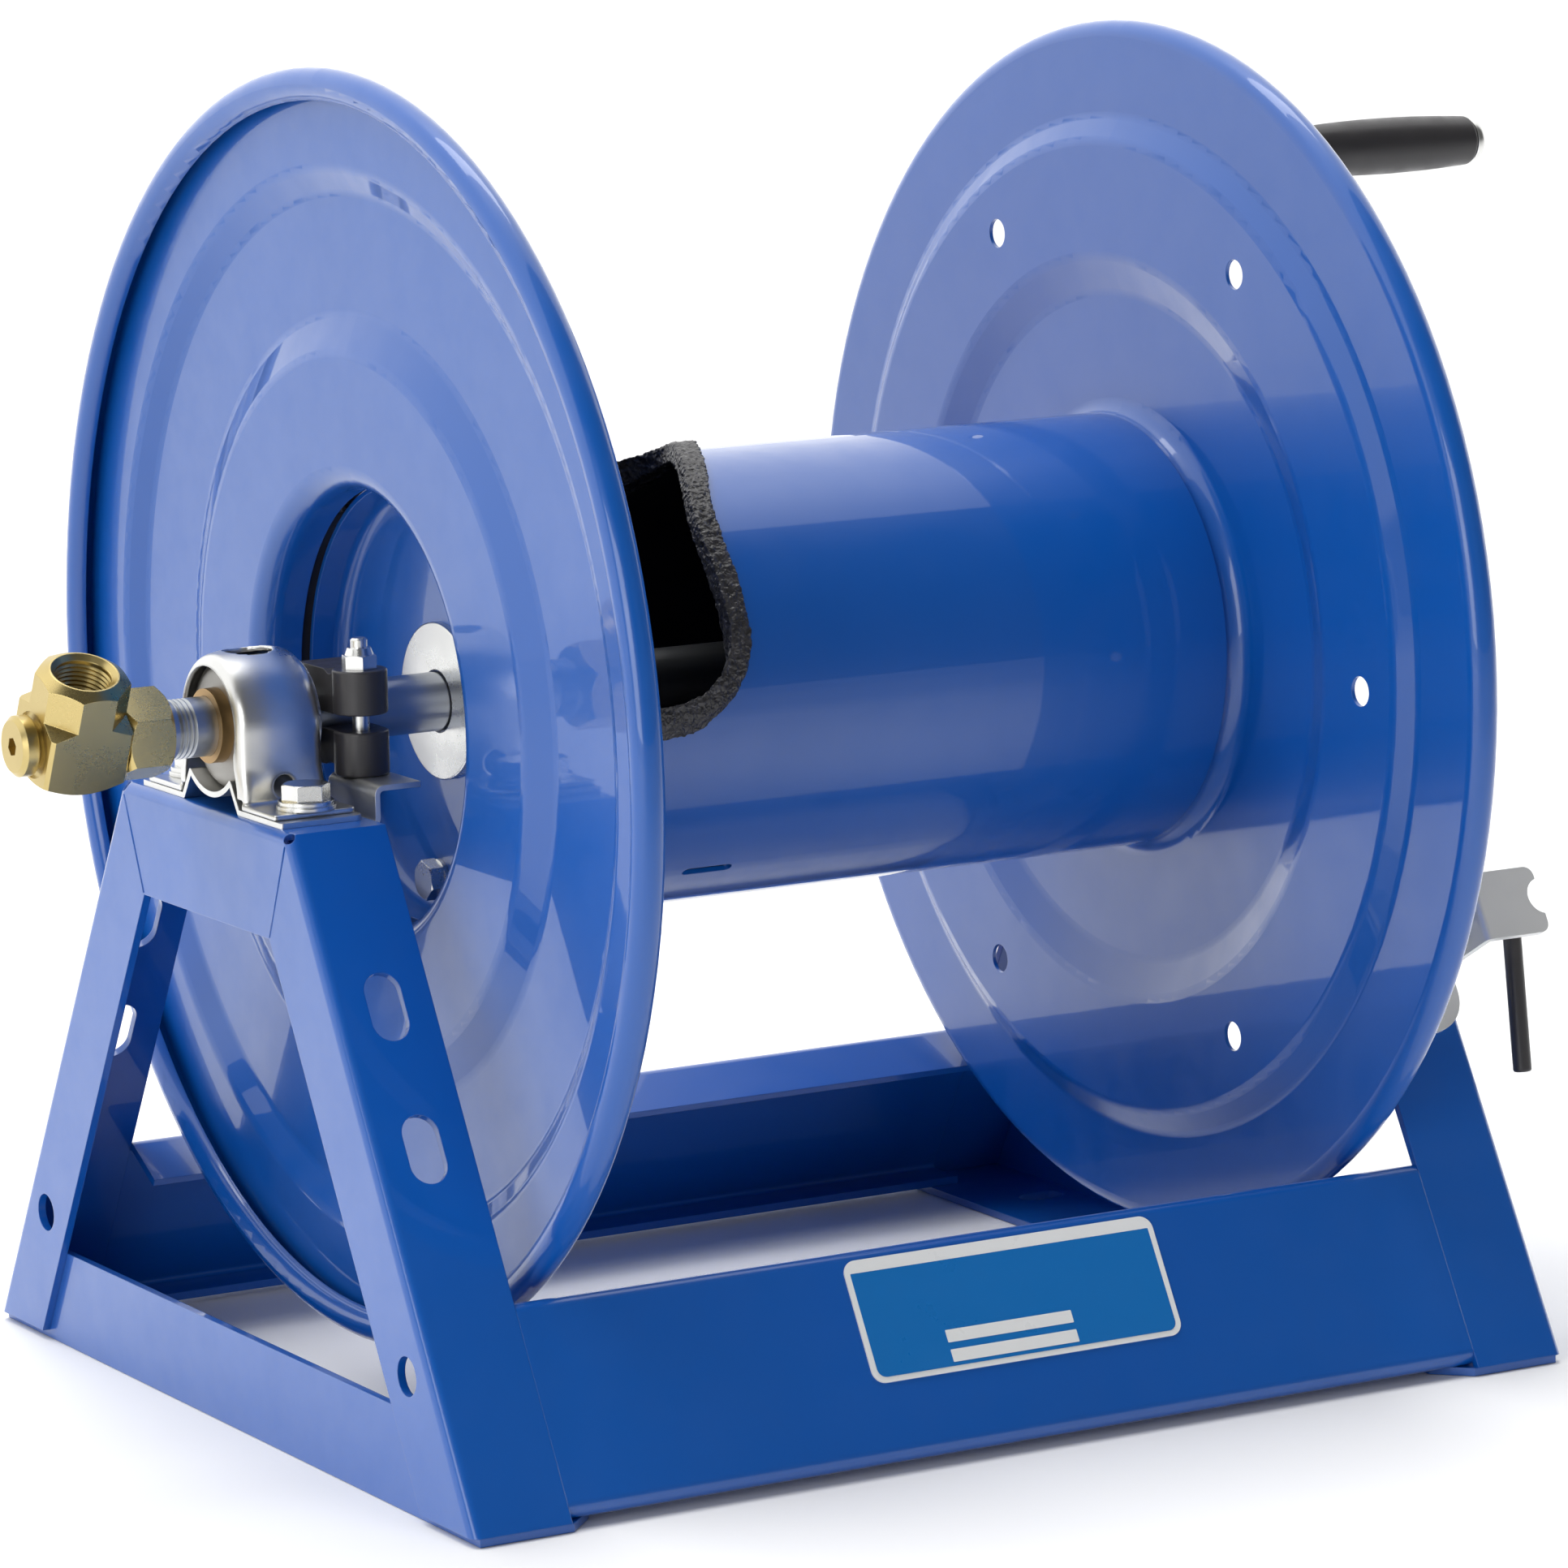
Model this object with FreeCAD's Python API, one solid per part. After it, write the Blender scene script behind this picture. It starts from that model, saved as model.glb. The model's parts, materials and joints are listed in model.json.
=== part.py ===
"""Hand-cranked fire hose reel: welded base with two A stands, drum, inlet swivel, crank, brake and pin lock.

Frame: X runs along the axle, from the inlet end (-X) to the crank end (+X). Z is up. The origin is on the
floor, under the middle of the drum. All sizes are in millimetres.
"""
import FreeCAD, Part
import math
import os

V = FreeCAD.Vector

# ---- driving dimensions ----
AXIS_Z = 254.0            # height of the axle
DISC_R = 228.6            # outer radius of the reel discs
DISC_X = 168.0            # middle plane of each disc's curled rim
DRUM_R = 82.0             # outer radius of the drum shell
STAND_X = 225.0           # outer face of each stand
STAND_DEPTH = 38.0        # depth of the stand's side flanges and seat
STAND_TOP = 225.0         # height of the bearing seat
FOOT_Y = 194.0            # half width of a stand at its feet
TOP_Y = 67.8              # half width of a stand at the seat
SHEET = 3.0               # thickness of the base's sheet steel
DISC_SHEET = 1.5          # thickness of the disc steel
AXLE_R = 10.65            # outer radius of the axle pipe
AXLE_BORE_R = 7.9         # bore of the axle pipe
RUNNING = 0.05            # radial clearance of a running fit

# ---- stand, crossbars and rails ----
FOOT_Z = SHEET                                        # the stands rest on the crossbars' foot flanges
LEG_TAN = (FOOT_Y - TOP_Y) / (STAND_TOP - FOOT_Z)     # how far a leg leans inwards for each mm of height
LEG_TILT = math.atan(LEG_TAN)
LEG_FACE = 39.0           # width of a leg's face, measured along Y
OPENING_TOP = 186.0       # top of the A opening
STAND_BEND_R = 4.0
RELIEF_R = 2.2            # bend relief hole at the seat's corners
LEG_HOLE_R = 7.0          # round hole near the foot of each leg
LEG_HOLE_Z = 50.0
FLANGE_SLOT_X = 204.8     # slots in the side flanges
FLANGE_SLOTS = (137.4, 189.6)
FLANGE_SLOT_W = 14.0
FLANGE_SLOT_L = 25.0
INNER_X = STAND_X - STAND_DEPTH

CROSS_X0 = 174.0          # inner edge of a crossbar's foot flange
CROSS_X1 = STAND_X - SHEET
CROSS_Y = 193.0
CROSS_H = 36.0
CROSS_CHAMFER = 12.0
BASE_SLOT = (203.0, 131.0)
BASE_SLOT_W = 11.0
BASE_SLOT_L = 20.0

RAIL_S = 80.0             # rail height, measured up the leg
RAIL_LIP = 25.0
RAIL_BEND_R = 4.5
PLATE_X = (-59.0, 69.0)   # name plate on the front rail
PLATE_S = (30.5, 75.5)
PLATE_T = 0.6
PLATE_CORNER_R = 5.0

# ---- bearings ----
BRG_X = 205.4             # middle of each bearing
BRG_HALF = 16.2
STRAP_T = 2.0
CAP_X = (187.6, 221.6)    # inner and outer end of a cap
CAP_R = 26.8
CAP_ROUND = (6.0, 3.5)    # rounding at the cap's inner and outer end
CAP_MOUTH_R = 21.3
CAP_FLANGE_Y = 51.5
CRADLE_FLANGE_Y = 56.3
FLANGE_CORNER = 4.0
BRG_BOLT_Y = 43.5
BRG_BOLT_R = 5.0
BRG_BOLT_AF = 15.0
BRG_WASHER_R = 10.5
BRG_WASHER_T = 1.6
INSERT_R = 23.4
INSERT_HALF = 12.5
INSERT_ROUND = 5.5
BUSH_R = 13.3
BUSH_X = (190.0, 222.5)
GREASE_HOLE_R = 8.7
SKIRT_HOLE_R = 4.0
CRADLE_PEAK_Y = 16.0      # the fold between the cradle's trough and its riser
CRADLE_FOOT_Y = 22.3      # where the riser meets the flange

# ---- drag brake ----
BRAKE_X = -173.0
BRAKE_BOLT_Y = -23.0
BRAKE_BOLT_R = 3.0
BRAKE_EAR_R = 9.8
BRAKE_SADDLE_W = 9.2
BRAKE_GAP = 3.0           # from the axle's level to each shoe's ear
BRAKE_H = 18.8            # from the axle's level to the outer end of each ear
BRACKET_T = 2.0
BRACKET_X = (-219.0, -180.5, -163.5)  # start of the foot, middle of the upright, end of the shelf
BRACKET_Y = (-49.5, -13.0)

# ---- drum ----
DRUM_SHEET = 2.0
DRUM_HALF = 154.0
HUB_X = 128.3             # outer face of each hub cup
HUB_T = 2.0
HUB_RIM_X = 142.0
HUB_WASHER_R = 28.5
HUB_WASHER_T = 2.5
HUB_HOLE = (65.0, 80.0)   # radius and angle of the open hole in a hub cup
HUB_HOLE_R = 7.5
TIE_R = 66.0
TIE_ANGLES = (220.0, 275.0, 330.0)
TIE_ROD_R = 4.0
INDEX_HOLE_R = 5.5        # lock holes in the far disc
INDEX_HOLES = 6
INDEX_PHASE = 61.0
SLOT_ANGLES = (-1.5, 125.0)     # hose slot: its lower and upper edge, up from the horizontal on the -Y side
SLOT_SIDE_X = -52.7             # its closed side, which is straight up to the knee and then slants
SLOT_KNEE = 52.0
SLOT_TOP_X = -8.5
SLOT_RADII = (30.0, 80.0, 25.0)
TRIM_R = (77.5, 85.0)
TRIM_X = (-152.5, -125.0)       # where its outer and its inner lip start
TRIM_MARGINS = (-2.0, 7.0)
HOSE_TIE_SLOT = (-51.5, -49.0)  # place along X, angle

# ---- riser and inlet ----
RISER_X = -110.0
RISER_Y = -50.0
ELBOW_SOCKET = 11.0
OUTLET_R = 10.3           # the end that the hose goes on
OUTLET_Z = (277.0, 300.0)
AXLE_X = (-246.0, 264.0)
STEM_HEX = (-258.0, -240.8)
STEM_AF = 29.0
STEM_TURN = 67.0
JOURNAL_R = 9.0
JOURNAL_END = -263.6
SEAL_X = (-262.5, -260.0)
SEAL_R = 11.0
SWIVEL_TILT = 25.5        # how far the port leans to -Y at rest
SWIVEL_HALF = (15.7, 15.6)    # half sizes of the square block
SWIVEL_P = (-14.3, 28.5)      # its lower and upper end along the port, from the axle
FACET_P = 13.2                # above this the block's corners are cut to an octagon
FACET_FALL = 0.5              # slope of the shoulder under each corner facet
PORT_X = -274.0
PORT_R = 10.0
PORT_P = 11.0             # bottom of the port's thread, above the axle
WATERWAY_R = 8.0
PORT_MOUTH = 1.8              # size of the chamfer round the mouth
COUNTERBORE_R = 11.8
CAP_HEAD = (-296.9, -291.2)
CAP_HEAD_R = 10.8
CAP_NECK_R = 8.5

# ---- crank ----
CRANK_HUB = (240.0, 266.0)
CRANK_HUB_R = 17.0
ARM_X = (254.5, 260.5)
GRIP_Y = 30.0
GRIP_Z = 172.0            # above the axle
SPINDLE_R = 5.0
GRIP_X = (262.5, 341.0)
GRIP_RADII = (9.4, 10.85, 9.35)

# ---- pin lock on the far stand, placed in the leg's own frame (x, up the leg, out of the leg) ----
LOCK_X = (194.0, 225.5)
LOCK_S = (150.0, 176.0)
LOCK_BASE_S = (127.0, 201.0)
LOCK_OUT = 35.0
LOCK_FACE_X = 251.0
NOTCH_R = 6.9
NOTCH = (252.6, 164.0)
PIN_S = 163.0
PIN_OUT = 20.0
PIN_R = 5.0
PIN_X = (158.3, 252.5)    # its tip stands just off the disc until a hole comes round
HANDLE_X = 246.5
HANDLE_R = 2.5
SLEEVE_R = 3.5
HANDLE_LEAN = 7.5         # degrees from straight down
HANDLE_END = 59.0
CLIP_X = (203.0, 205.0)   # 6 mm of travel is left for the pin to enter a hole
SPRING_END = 213.4
SPRING_R = 6.7
SPRING_WIRE_R = 0.8
SPRING_PITCH = 2.6


# ---- small builders ----
def box(x0, x1, y0, y1, z0, z1):
    return Part.makeBox(x1 - x0, y1 - y0, z1 - z0, V(x0, y0, z0))


def rod(radius, start, end):
    """A cylinder between two points."""
    axis = V(*end) - V(*start)
    return Part.makeCylinder(radius, axis.Length, V(*start), axis)


def rod_x(radius, x0, x1, y=0.0, z=AXIS_Z):
    return rod(radius, (x0, y, z), (x1, y, z))


def rod_z(radius, x, y, z0, z1):
    return rod(radius, (x, y, z0), (x, y, z1))


def ring_x(outer, inner, x0, x1):
    return rod_x(outer, x0, x1).cut(rod_x(inner, x0 - 1, x1 + 1))


def prism(points, axis):
    """A closed polygon pushed along a vector."""
    corners = [V(*p) for p in points]
    return Part.Face(Part.makePolygon(corners + corners[:1])).extrude(V(*axis))


def hexagon(across_flats, base, axis, turn=0.0):
    """A hex bar; turn is the angle of its first corner."""
    corner = across_flats / math.sqrt(3.0)
    angles = [math.radians(turn + 60.0 * i) for i in range(6)]
    corners = [V(corner * math.cos(a), corner * math.sin(a), 0) for a in angles]
    length = V(*axis).Length
    bar = Part.Face(Part.makePolygon(corners + corners[:1])).extrude(V(0, 0, length))
    bar.Placement = FreeCAD.Placement(V(*base), FreeCAD.Rotation(V(0, 0, 1), V(*axis)))
    return bar


def hex_nut(across_flats, base, axis, turn=0.0):
    """A hex bar whose far end has its corners turned off."""
    bar = hexagon(across_flats, base, axis, turn)
    direction = V(*axis)
    height = direction.Length
    reach = across_flats * 0.62
    cone = Part.makeCone(reach + height * 1.7, reach * 0.83, height, V(*base), direction)
    return bar.common(cone)


def rounded_path(points, radii):
    """An open wire through the points, with a tangent arc at each inner corner."""
    corners = [V(*p) for p in points]
    edges = []
    start = corners[0]
    for i, radius in enumerate(radii, start=1):
        before = (corners[i - 1] - corners[i]).normalize()
        after = (corners[i + 1] - corners[i]).normalize()
        half = before.getAngle(after) / 2.0
        reach = radius / math.tan(half)
        first = corners[i] + before * reach
        last = corners[i] + after * reach
        inward = (before + after).normalize()
        middle = corners[i] + inward * (radius / math.sin(half) - radius)
        edges.append(Part.LineSegment(start, first).toShape())
        edges.append(Part.Arc(first, middle, last).toShape())
        start = last
    edges.append(Part.LineSegment(start, corners[-1]).toShape())
    return Part.Wire(edges)


def thicken(wire, thickness):
    """The face between an open flat wire and its offset."""
    return wire.makeOffset2D(thickness, fill=True, openResult=True)


def rounded_plate(points, radii, axis):
    """A flat plate: a closed outline with a corner radius at each point, pushed along a vector."""
    first = V(*points[0])
    last = V(*points[-1])
    middle = (first + last) * 0.5
    loop = [tuple(middle)] + list(points) + [tuple(middle)]
    wire = rounded_path(loop, radii)
    return Part.Face(Part.Wire(wire.Edges)).extrude(V(*axis))


def round_edges(shape, radius, wanted):
    """Fillet the edges that the test picks."""
    edges = [e for e in shape.Edges if wanted(e)]
    return shape.makeFillet(radius, edges)


def spin_about_axle(face):
    """Turn a flat face right round the axle."""
    return face.revolve(V(0, 0, AXIS_Z), V(1, 0, 0), 360)


def around(radius, angle):
    """Y and Z of a point round the axle; 0 degrees is +Y and 90 is up."""
    turn = math.radians(angle)
    return radius * math.cos(turn), AXIS_Z + radius * math.sin(turn)


def to_leg(shape):
    """Move a shape from the leg's own frame (x, up the leg, outwards) to the front (-Y) leg."""
    sin, cos = math.sin(LEG_TILT), math.cos(LEG_TILT)
    frame = FreeCAD.Matrix(1, 0, 0, 0, 0, sin, -cos, -FOOT_Y, 0, cos, sin, FOOT_Z, 0, 0, 0, 1)
    return shape.transformed(frame)


def leg_point(s, out):
    """Y and Z of a point up the front leg and out from it."""
    sin, cos = math.sin(LEG_TILT), math.cos(LEG_TILT)
    return -FOOT_Y + s * sin - out * cos, FOOT_Z + s * cos + out * sin


def mirror_x(shape):
    return shape.mirror(V(0, 0, 0), V(1, 0, 0))


def mirror_y(shape):
    return shape.mirror(V(0, 0, 0), V(0, 1, 0))


def group(shapes):
    return Part.makeCompound(shapes)


def outer_y(z):
    """Half width of a stand's outline at a height."""
    return FOOT_Y - (z - FOOT_Z) * LEG_TAN


# ---- base ----
def stand():
    """The far stand: one bent sheet with two legs, side flanges and a seat."""
    outline = [
        (INNER_X, -FOOT_Y, FOOT_Z), (INNER_X, -TOP_Y, STAND_TOP),
        (INNER_X, TOP_Y, STAND_TOP), (INNER_X, FOOT_Y, FOOT_Z),
    ]
    body = prism(outline, (STAND_DEPTH, 0, 0))
    body = round_edges(body, STAND_BEND_R, lambda e: all(abs(v.X - STAND_X) < 0.1 for v in e.Vertexes)
                       and max(v.Z for v in e.Vertexes) > FOOT_Z + 1)
    wall = SHEET / math.cos(LEG_TILT)
    under = FOOT_Z - 10.0
    inside_foot = outer_y(under) - wall
    inside_top = outer_y(STAND_TOP - SHEET) - wall
    hollow = [
        (INNER_X - 1, -inside_foot, under), (INNER_X - 1, -inside_top, STAND_TOP - SHEET),
        (INNER_X - 1, inside_top, STAND_TOP - SHEET), (INNER_X - 1, inside_foot, under),
    ]
    body = body.cut(prism(hollow, (STAND_DEPTH + 1 - SHEET, 0, 0)))
    opening_top = outer_y(OPENING_TOP) - LEG_FACE
    opening_foot = outer_y(under) - LEG_FACE
    opening = [
        (STAND_X - 10, -opening_foot, under), (STAND_X - 10, -opening_top, OPENING_TOP),
        (STAND_X - 10, opening_top, OPENING_TOP), (STAND_X - 10, opening_foot, under),
    ]
    cuts = [prism(opening, (20, 0, 0))]
    leg_hole_y = outer_y(LEG_HOLE_Z) - LEG_FACE / 2
    for side in (-1, 1):
        cuts.append(rod_x(LEG_HOLE_R, STAND_X - 10, STAND_X + 10, side * leg_hole_y, LEG_HOLE_Z))
        corner, inward = V(STAND_X, side * TOP_Y, STAND_TOP), V(-1, -side, -1)
        cuts.append(rod(RELIEF_R, tuple(corner - inward * 4), tuple(corner + inward * 8)))
        cuts.append(rod_z(BRG_BOLT_R + 0.4, BRG_X, side * BRG_BOLT_Y, STAND_TOP - 10, STAND_TOP + 10))
        for s in FLANGE_SLOTS:
            slot = slot_cutter(FLANGE_SLOT_X, s, FLANGE_SLOT_W, FLANGE_SLOT_L, along_x=False)
            slot = to_leg(slot)
            cuts.append(slot if side < 0 else mirror_y(slot))
    for cutter in cuts:
        body = body.cut(cutter)
    return body


def slot_cutter(x, y, width, length, along_x):
    """A round-ended slot in the XY plane, deep enough to go through a sheet."""
    reach = (length - width) / 2
    dx, dy = (reach, 0) if along_x else (0, reach)
    half = width / 2
    wx, wy = (0, half) if along_x else (half, 0)
    middle = box(x - dx - wx, x + dx + wx, y - dy - wy, y + dy + wy, -8, 8)
    ends = [Part.makeCylinder(half, 16, V(x + k * dx, y + k * dy, -8)) for k in (-1, 1)]
    return middle.fuse(ends[0]).fuse(ends[1])


def crossbar():
    """The far foot crossbar: an angle section behind the stand's legs."""
    inner = CROSS_CHAMFER
    foot = prism([
        (CROSS_X0, -CROSS_Y + inner, 0), (CROSS_X0 + inner, -CROSS_Y, 0), (CROSS_X1, -CROSS_Y, 0),
        (CROSS_X1, CROSS_Y, 0), (CROSS_X0 + inner, CROSS_Y, 0), (CROSS_X0, CROSS_Y - inner, 0),
    ], (0, 0, SHEET))
    gap = SHEET / math.cos(LEG_TILT) + 0.3
    low = outer_y(FOOT_Z) - gap
    high = outer_y(CROSS_H) - gap
    x = CROSS_X1 - SHEET
    web = prism([(x, -low, 0), (x, low, 0), (x, low, FOOT_Z), (x, high, CROSS_H), (x, -high, CROSS_H),
                 (x, -low, FOOT_Z)], (SHEET, 0, 0))
    bar = foot.fuse(web).removeSplitter()
    for side in (-1, 1):
        bar = bar.cut(slot_cutter(BASE_SLOT[0], side * BASE_SLOT[1], BASE_SLOT_W, BASE_SLOT_L, along_x=True))
    return bar


def rail():
    """The front rail: a bent channel whose web lies in the plane of the legs."""
    top_y, top_z = leg_point(RAIL_S, 0)
    lip_y, lip_z = leg_point(RAIL_S, -RAIL_LIP)
    path = rounded_path([
        (-INNER_X, -FOOT_Y + RAIL_LIP, FOOT_Z), (-INNER_X, -FOOT_Y, FOOT_Z),
        (-INNER_X, top_y, top_z), (-INNER_X, lip_y, lip_z),
    ], [RAIL_BEND_R, RAIL_BEND_R])
    return thicken(path, SHEET).extrude(V(2 * INNER_X, 0, 0))


def name_plate():
    """The blank plate on the front rail."""
    (x0, x1), (s0, s1) = PLATE_X, PLATE_S
    plate = rounded_plate([(x0, s0, 0), (x0, s1, 0), (x1, s1, 0), (x1, s0, 0)], [PLATE_CORNER_R] * 4,
                          (0, 0, PLATE_T))
    return to_leg(plate)


# ---- bearings, built for the far end ----
def flange_plate(half_y, z0, inner):
    """Both flanges of a strap, with a bolt hole in each; inner is where they stop beside the axle."""
    x0, x1 = BRG_X - BRG_HALF, BRG_X + BRG_HALF
    outline = [(x0, -half_y, z0), (x1, -half_y, z0), (x1, half_y, z0), (x0, half_y, z0)]
    plate = rounded_plate(outline, [FLANGE_CORNER, 1.0, 1.0, FLANGE_CORNER], (0, 0, STRAP_T))
    plate = plate.cut(box(x0 - 1, x1 + 1, -inner, inner, z0 - 1, z0 + STRAP_T + 1))
    for side in (-1, 1):
        plate = plate.cut(rod_z(BRG_BOLT_R + 0.4, BRG_X, side * BRG_BOLT_Y, z0 - 1, z0 + STRAP_T + 1))
    return plate


def bearing_cradle():
    """The lower strap: two flanges that rise to a fold and dip into a trough under the insert."""
    x0, x1 = BRG_X - BRG_HALF, BRG_X + BRG_HALF
    half_t = STRAP_T / 2
    spread = math.asin(CRADLE_PEAK_Y / (INSERT_R + half_t))
    peak_y, peak_z = CRADLE_PEAK_Y, AXIS_Z - (INSERT_R + half_t) * math.cos(spread)
    foot_y, foot_z = CRADLE_FOOT_Y, STAND_TOP + half_t
    reach = 60.0
    wedge = prism([(x0, 0, AXIS_Z), (x0, -reach * math.tan(spread), AXIS_Z - reach),
                   (x0, reach * math.tan(spread), AXIS_Z - reach)], (x1 - x0, 0, 0))
    strap = ring_x(INSERT_R + STRAP_T, INSERT_R, x0, x1).common(wedge)
    length = math.hypot(foot_y - peak_y, foot_z - peak_z)
    across = (half_t * (peak_z - foot_z) / length, half_t * (foot_y - peak_y) / length)
    for side in (-1, 1):
        riser = [(peak_y + across[0], peak_z + across[1]), (foot_y + across[0], foot_z + across[1]),
                 (foot_y - across[0], foot_z - across[1]), (peak_y - across[0], peak_z - across[1])]
        strap = strap.fuse(prism([(x0, side * y, z) for y, z in riser], (x1 - x0, 0, 0)))
        for y, z in ((peak_y, peak_z), (foot_y, foot_z)):
            strap = strap.fuse(rod_x(half_t, x0, x1, side * y, z))
    return strap.fuse(flange_plate(CRADLE_FLANGE_Y, STAND_TOP, foot_y)).removeSplitter()


def arch(radius, ends, foot, rounding):
    """A prism with a half-round top round the axle, with a rounding for each end."""
    x0, x1 = ends
    shape = rod_x(radius, x0, x1).fuse(box(x0, x1, -radius, radius, foot, AXIS_Z)).removeSplitter()
    shape = shape.cut(box(x0 - 1, x1 + 1, -radius - 1, radius + 1, foot - radius, foot))
    for x, size in zip(ends, rounding):
        shape = round_edges(shape, size, lambda e: all(abs(v.X - x) < 0.01 for v in e.Vertexes)
                            and max(v.Z for v in e.Vertexes) > foot + 1)
    return shape


def bearing_cap():
    """The pressed upper shell with its flanges, top hole and skirt holes."""
    x0, x1 = CAP_X
    z0 = STAND_TOP + STRAP_T
    inner = CAP_R - STRAP_T
    dome = arch(CAP_R, CAP_X, z0, CAP_ROUND)
    hollow = arch(inner, (x0 + STRAP_T, x1 - STRAP_T), z0 - 5, [r - STRAP_T + 0.2 for r in CAP_ROUND])
    mouth = rod_x(CAP_MOUTH_R, x0 - 1, x1 + 1)
    slot = box(x0 - 1, x1 + 1, -CAP_MOUTH_R, CAP_MOUTH_R, z0 - 5, AXIS_Z)
    relief = box(x0 - 1, x1 + 1, -inner, inner, z0 - 5, z0 + 3.5)
    shell = dome.cut(hollow).cut(mouth).cut(slot).cut(relief)
    cap = shell.fuse(flange_plate(CAP_FLANGE_Y, z0, inner)).removeSplitter()
    cap = cap.cut(rod_z(GREASE_HOLE_R, BRG_X, 0, AXIS_Z + 20, AXIS_Z + 40))
    for side in (-1, 1):
        cap = cap.cut(rod(SKIRT_HOLE_R, (BRG_X, side * 20, z0 + 7.5), (BRG_X, side * 40, z0 + 7.5)))
    return cap


def bearing_insert():
    """The ring that holds the bush, rounded so that it can tilt in the cap."""
    ring = rod_x(INSERT_R, BRG_X - INSERT_HALF, BRG_X + INSERT_HALF)
    ring = round_edges(ring, INSERT_ROUND, lambda e: e.Curve.TypeId == "Part::GeomCircle")
    return ring.cut(rod_x(BUSH_R, BRG_X - 20, BRG_X + 20))


def bearing_bolt_places():
    """Sign of X, sign of Y, X and Y of each bearing bolt."""
    return [(end, side, end * BRG_X, side * BRG_BOLT_Y) for end in (-1, 1) for side in (-1, 1)]


def bearing_bolts():
    """Hex bolts of both bearings, heads up."""
    seat = STAND_TOP + 2 * STRAP_T + 2 * BRG_WASHER_T
    bolts = []
    for end, side, x, y in bearing_bolt_places():
        head = hex_nut(BRG_BOLT_AF, (x, y, seat), (0, 0, 5.8), turn=22 - 11 * (side + end))
        bolts.append(rod_z(BRG_BOLT_R, x, y, STAND_TOP - 19, seat + 1).fuse(head))
    return group(bolts)


def bearing_washers():
    """Two flat washers under each bolt head."""
    rings = []
    for end, side, x, y in bearing_bolt_places():
        for i, radius in enumerate((BRG_WASHER_R, BRG_WASHER_R - 0.6)):
            z = STAND_TOP + 2 * STRAP_T + i * BRG_WASHER_T
            ring = rod_z(radius, x, y, z, z + BRG_WASHER_T)
            ring = ring.makeFillet(0.35, [e for e in ring.Edges if e.Curve.TypeId == "Part::GeomCircle"])
            rings.append(ring.cut(rod_z(BRG_BOLT_R + 0.3, x, y, z - 1, z + 3)))
    return group(rings)


def bearing_nuts():
    """Nuts under the seat; the one at the brake sits under the bracket's foot."""
    nuts = []
    for end, side, x, y in bearing_bolt_places():
        bracket = BRACKET_T if (end, side) == (-1, -1) else 0.0
        top = STAND_TOP - SHEET - bracket
        nut = hex_nut(BRG_BOLT_AF, (x, y, top), (0, 0, -8.0))
        nuts.append(nut.cut(rod_z(BRG_BOLT_R, x, y, top - 20, top + 1)))
    return group(nuts)


# ---- drag brake ----
def brake_bracket():
    """A folded strip: its foot is clamped under the seat, and its shelf carries the shoes' ears."""
    foot_x, upright_x, shelf_x = BRACKET_X
    y0, y1 = BRACKET_Y
    low = STAND_TOP - SHEET - BRACKET_T / 2
    high = AXIS_Z - BRAKE_H - BRACKET_T / 2
    path = rounded_path([(foot_x, y0, low), (upright_x, y0, low), (upright_x, y0, high), (shelf_x, y0, high)],
                        [3.0, 2.5])
    strip = thicken(path.makeOffset2D(BRACKET_T / 2, openResult=True), -BRACKET_T).extrude(V(0, y1 - y0, 0))
    strip = strip.cut(rod_z(BRAKE_BOLT_R + 0.3, BRAKE_X, BRAKE_BOLT_Y, high - 5, high + 5))
    return strip.cut(rod_z(BRG_BOLT_R + 0.4, -BRG_X, -BRG_BOLT_Y, low - 5, low + 5))


def brake_shoe(up, saddle_h):
    """One shoe: an ear for the bolt, a saddle on the axle and a toe that meets the other shoe behind it."""
    profile = [(-20, BRAKE_GAP), (-20, saddle_h - 0.8), (-16.5, saddle_h - 1.6), (-13, saddle_h), (8, saddle_h),
               (16, saddle_h - 5), (19.5, 6), (19.5, 0), (0, 0), (0, BRAKE_GAP)]
    radii = [0.5, 0.5, 3.0, 3.0, 3.0, 3.0, 3.0, 0.5, 0.5, 0.5]
    x = BRAKE_X - BRAKE_SADDLE_W
    points = [(x, y, AXIS_Z + up * h) for y, h in profile]
    shoe = rounded_plate(points, radii, (2 * BRAKE_SADDLE_W, 0, 0))
    z0, z1 = sorted((AXIS_Z + up * BRAKE_GAP, AXIS_Z + up * BRAKE_H))
    ear = rod_z(BRAKE_EAR_R, BRAKE_X, BRAKE_BOLT_Y, z0, z1)
    ear = ear.makeFillet(0.8, [e for e in ear.Edges if e.Curve.TypeId == "Part::GeomCircle"])
    shoe = shoe.fuse(ear).removeSplitter().cut(rod_x(AXLE_R + RUNNING, BRAKE_X - 20, BRAKE_X + 20))
    return shoe.cut(rod_z(BRAKE_BOLT_R + 0.1, BRAKE_X, BRAKE_BOLT_Y, z0 - 1, z1 + 1))


def brake_bolt():
    """The bolt up through the bracket and both ears."""
    under = AXIS_Z - BRAKE_H - BRACKET_T
    head = hex_nut(10.0, (BRAKE_X, BRAKE_BOLT_Y, under), (0, 0, -4.2), turn=30)
    shank = rod_z(BRAKE_BOLT_R, BRAKE_X, BRAKE_BOLT_Y, under - 1, AXIS_Z + BRAKE_H + 11)
    tip = [e for e in shank.Edges if e.Curve.TypeId == "Part::GeomCircle" and e.CenterOfMass.z > AXIS_Z]
    return shank.makeChamfer(0.7, tip).fuse(head)


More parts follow.
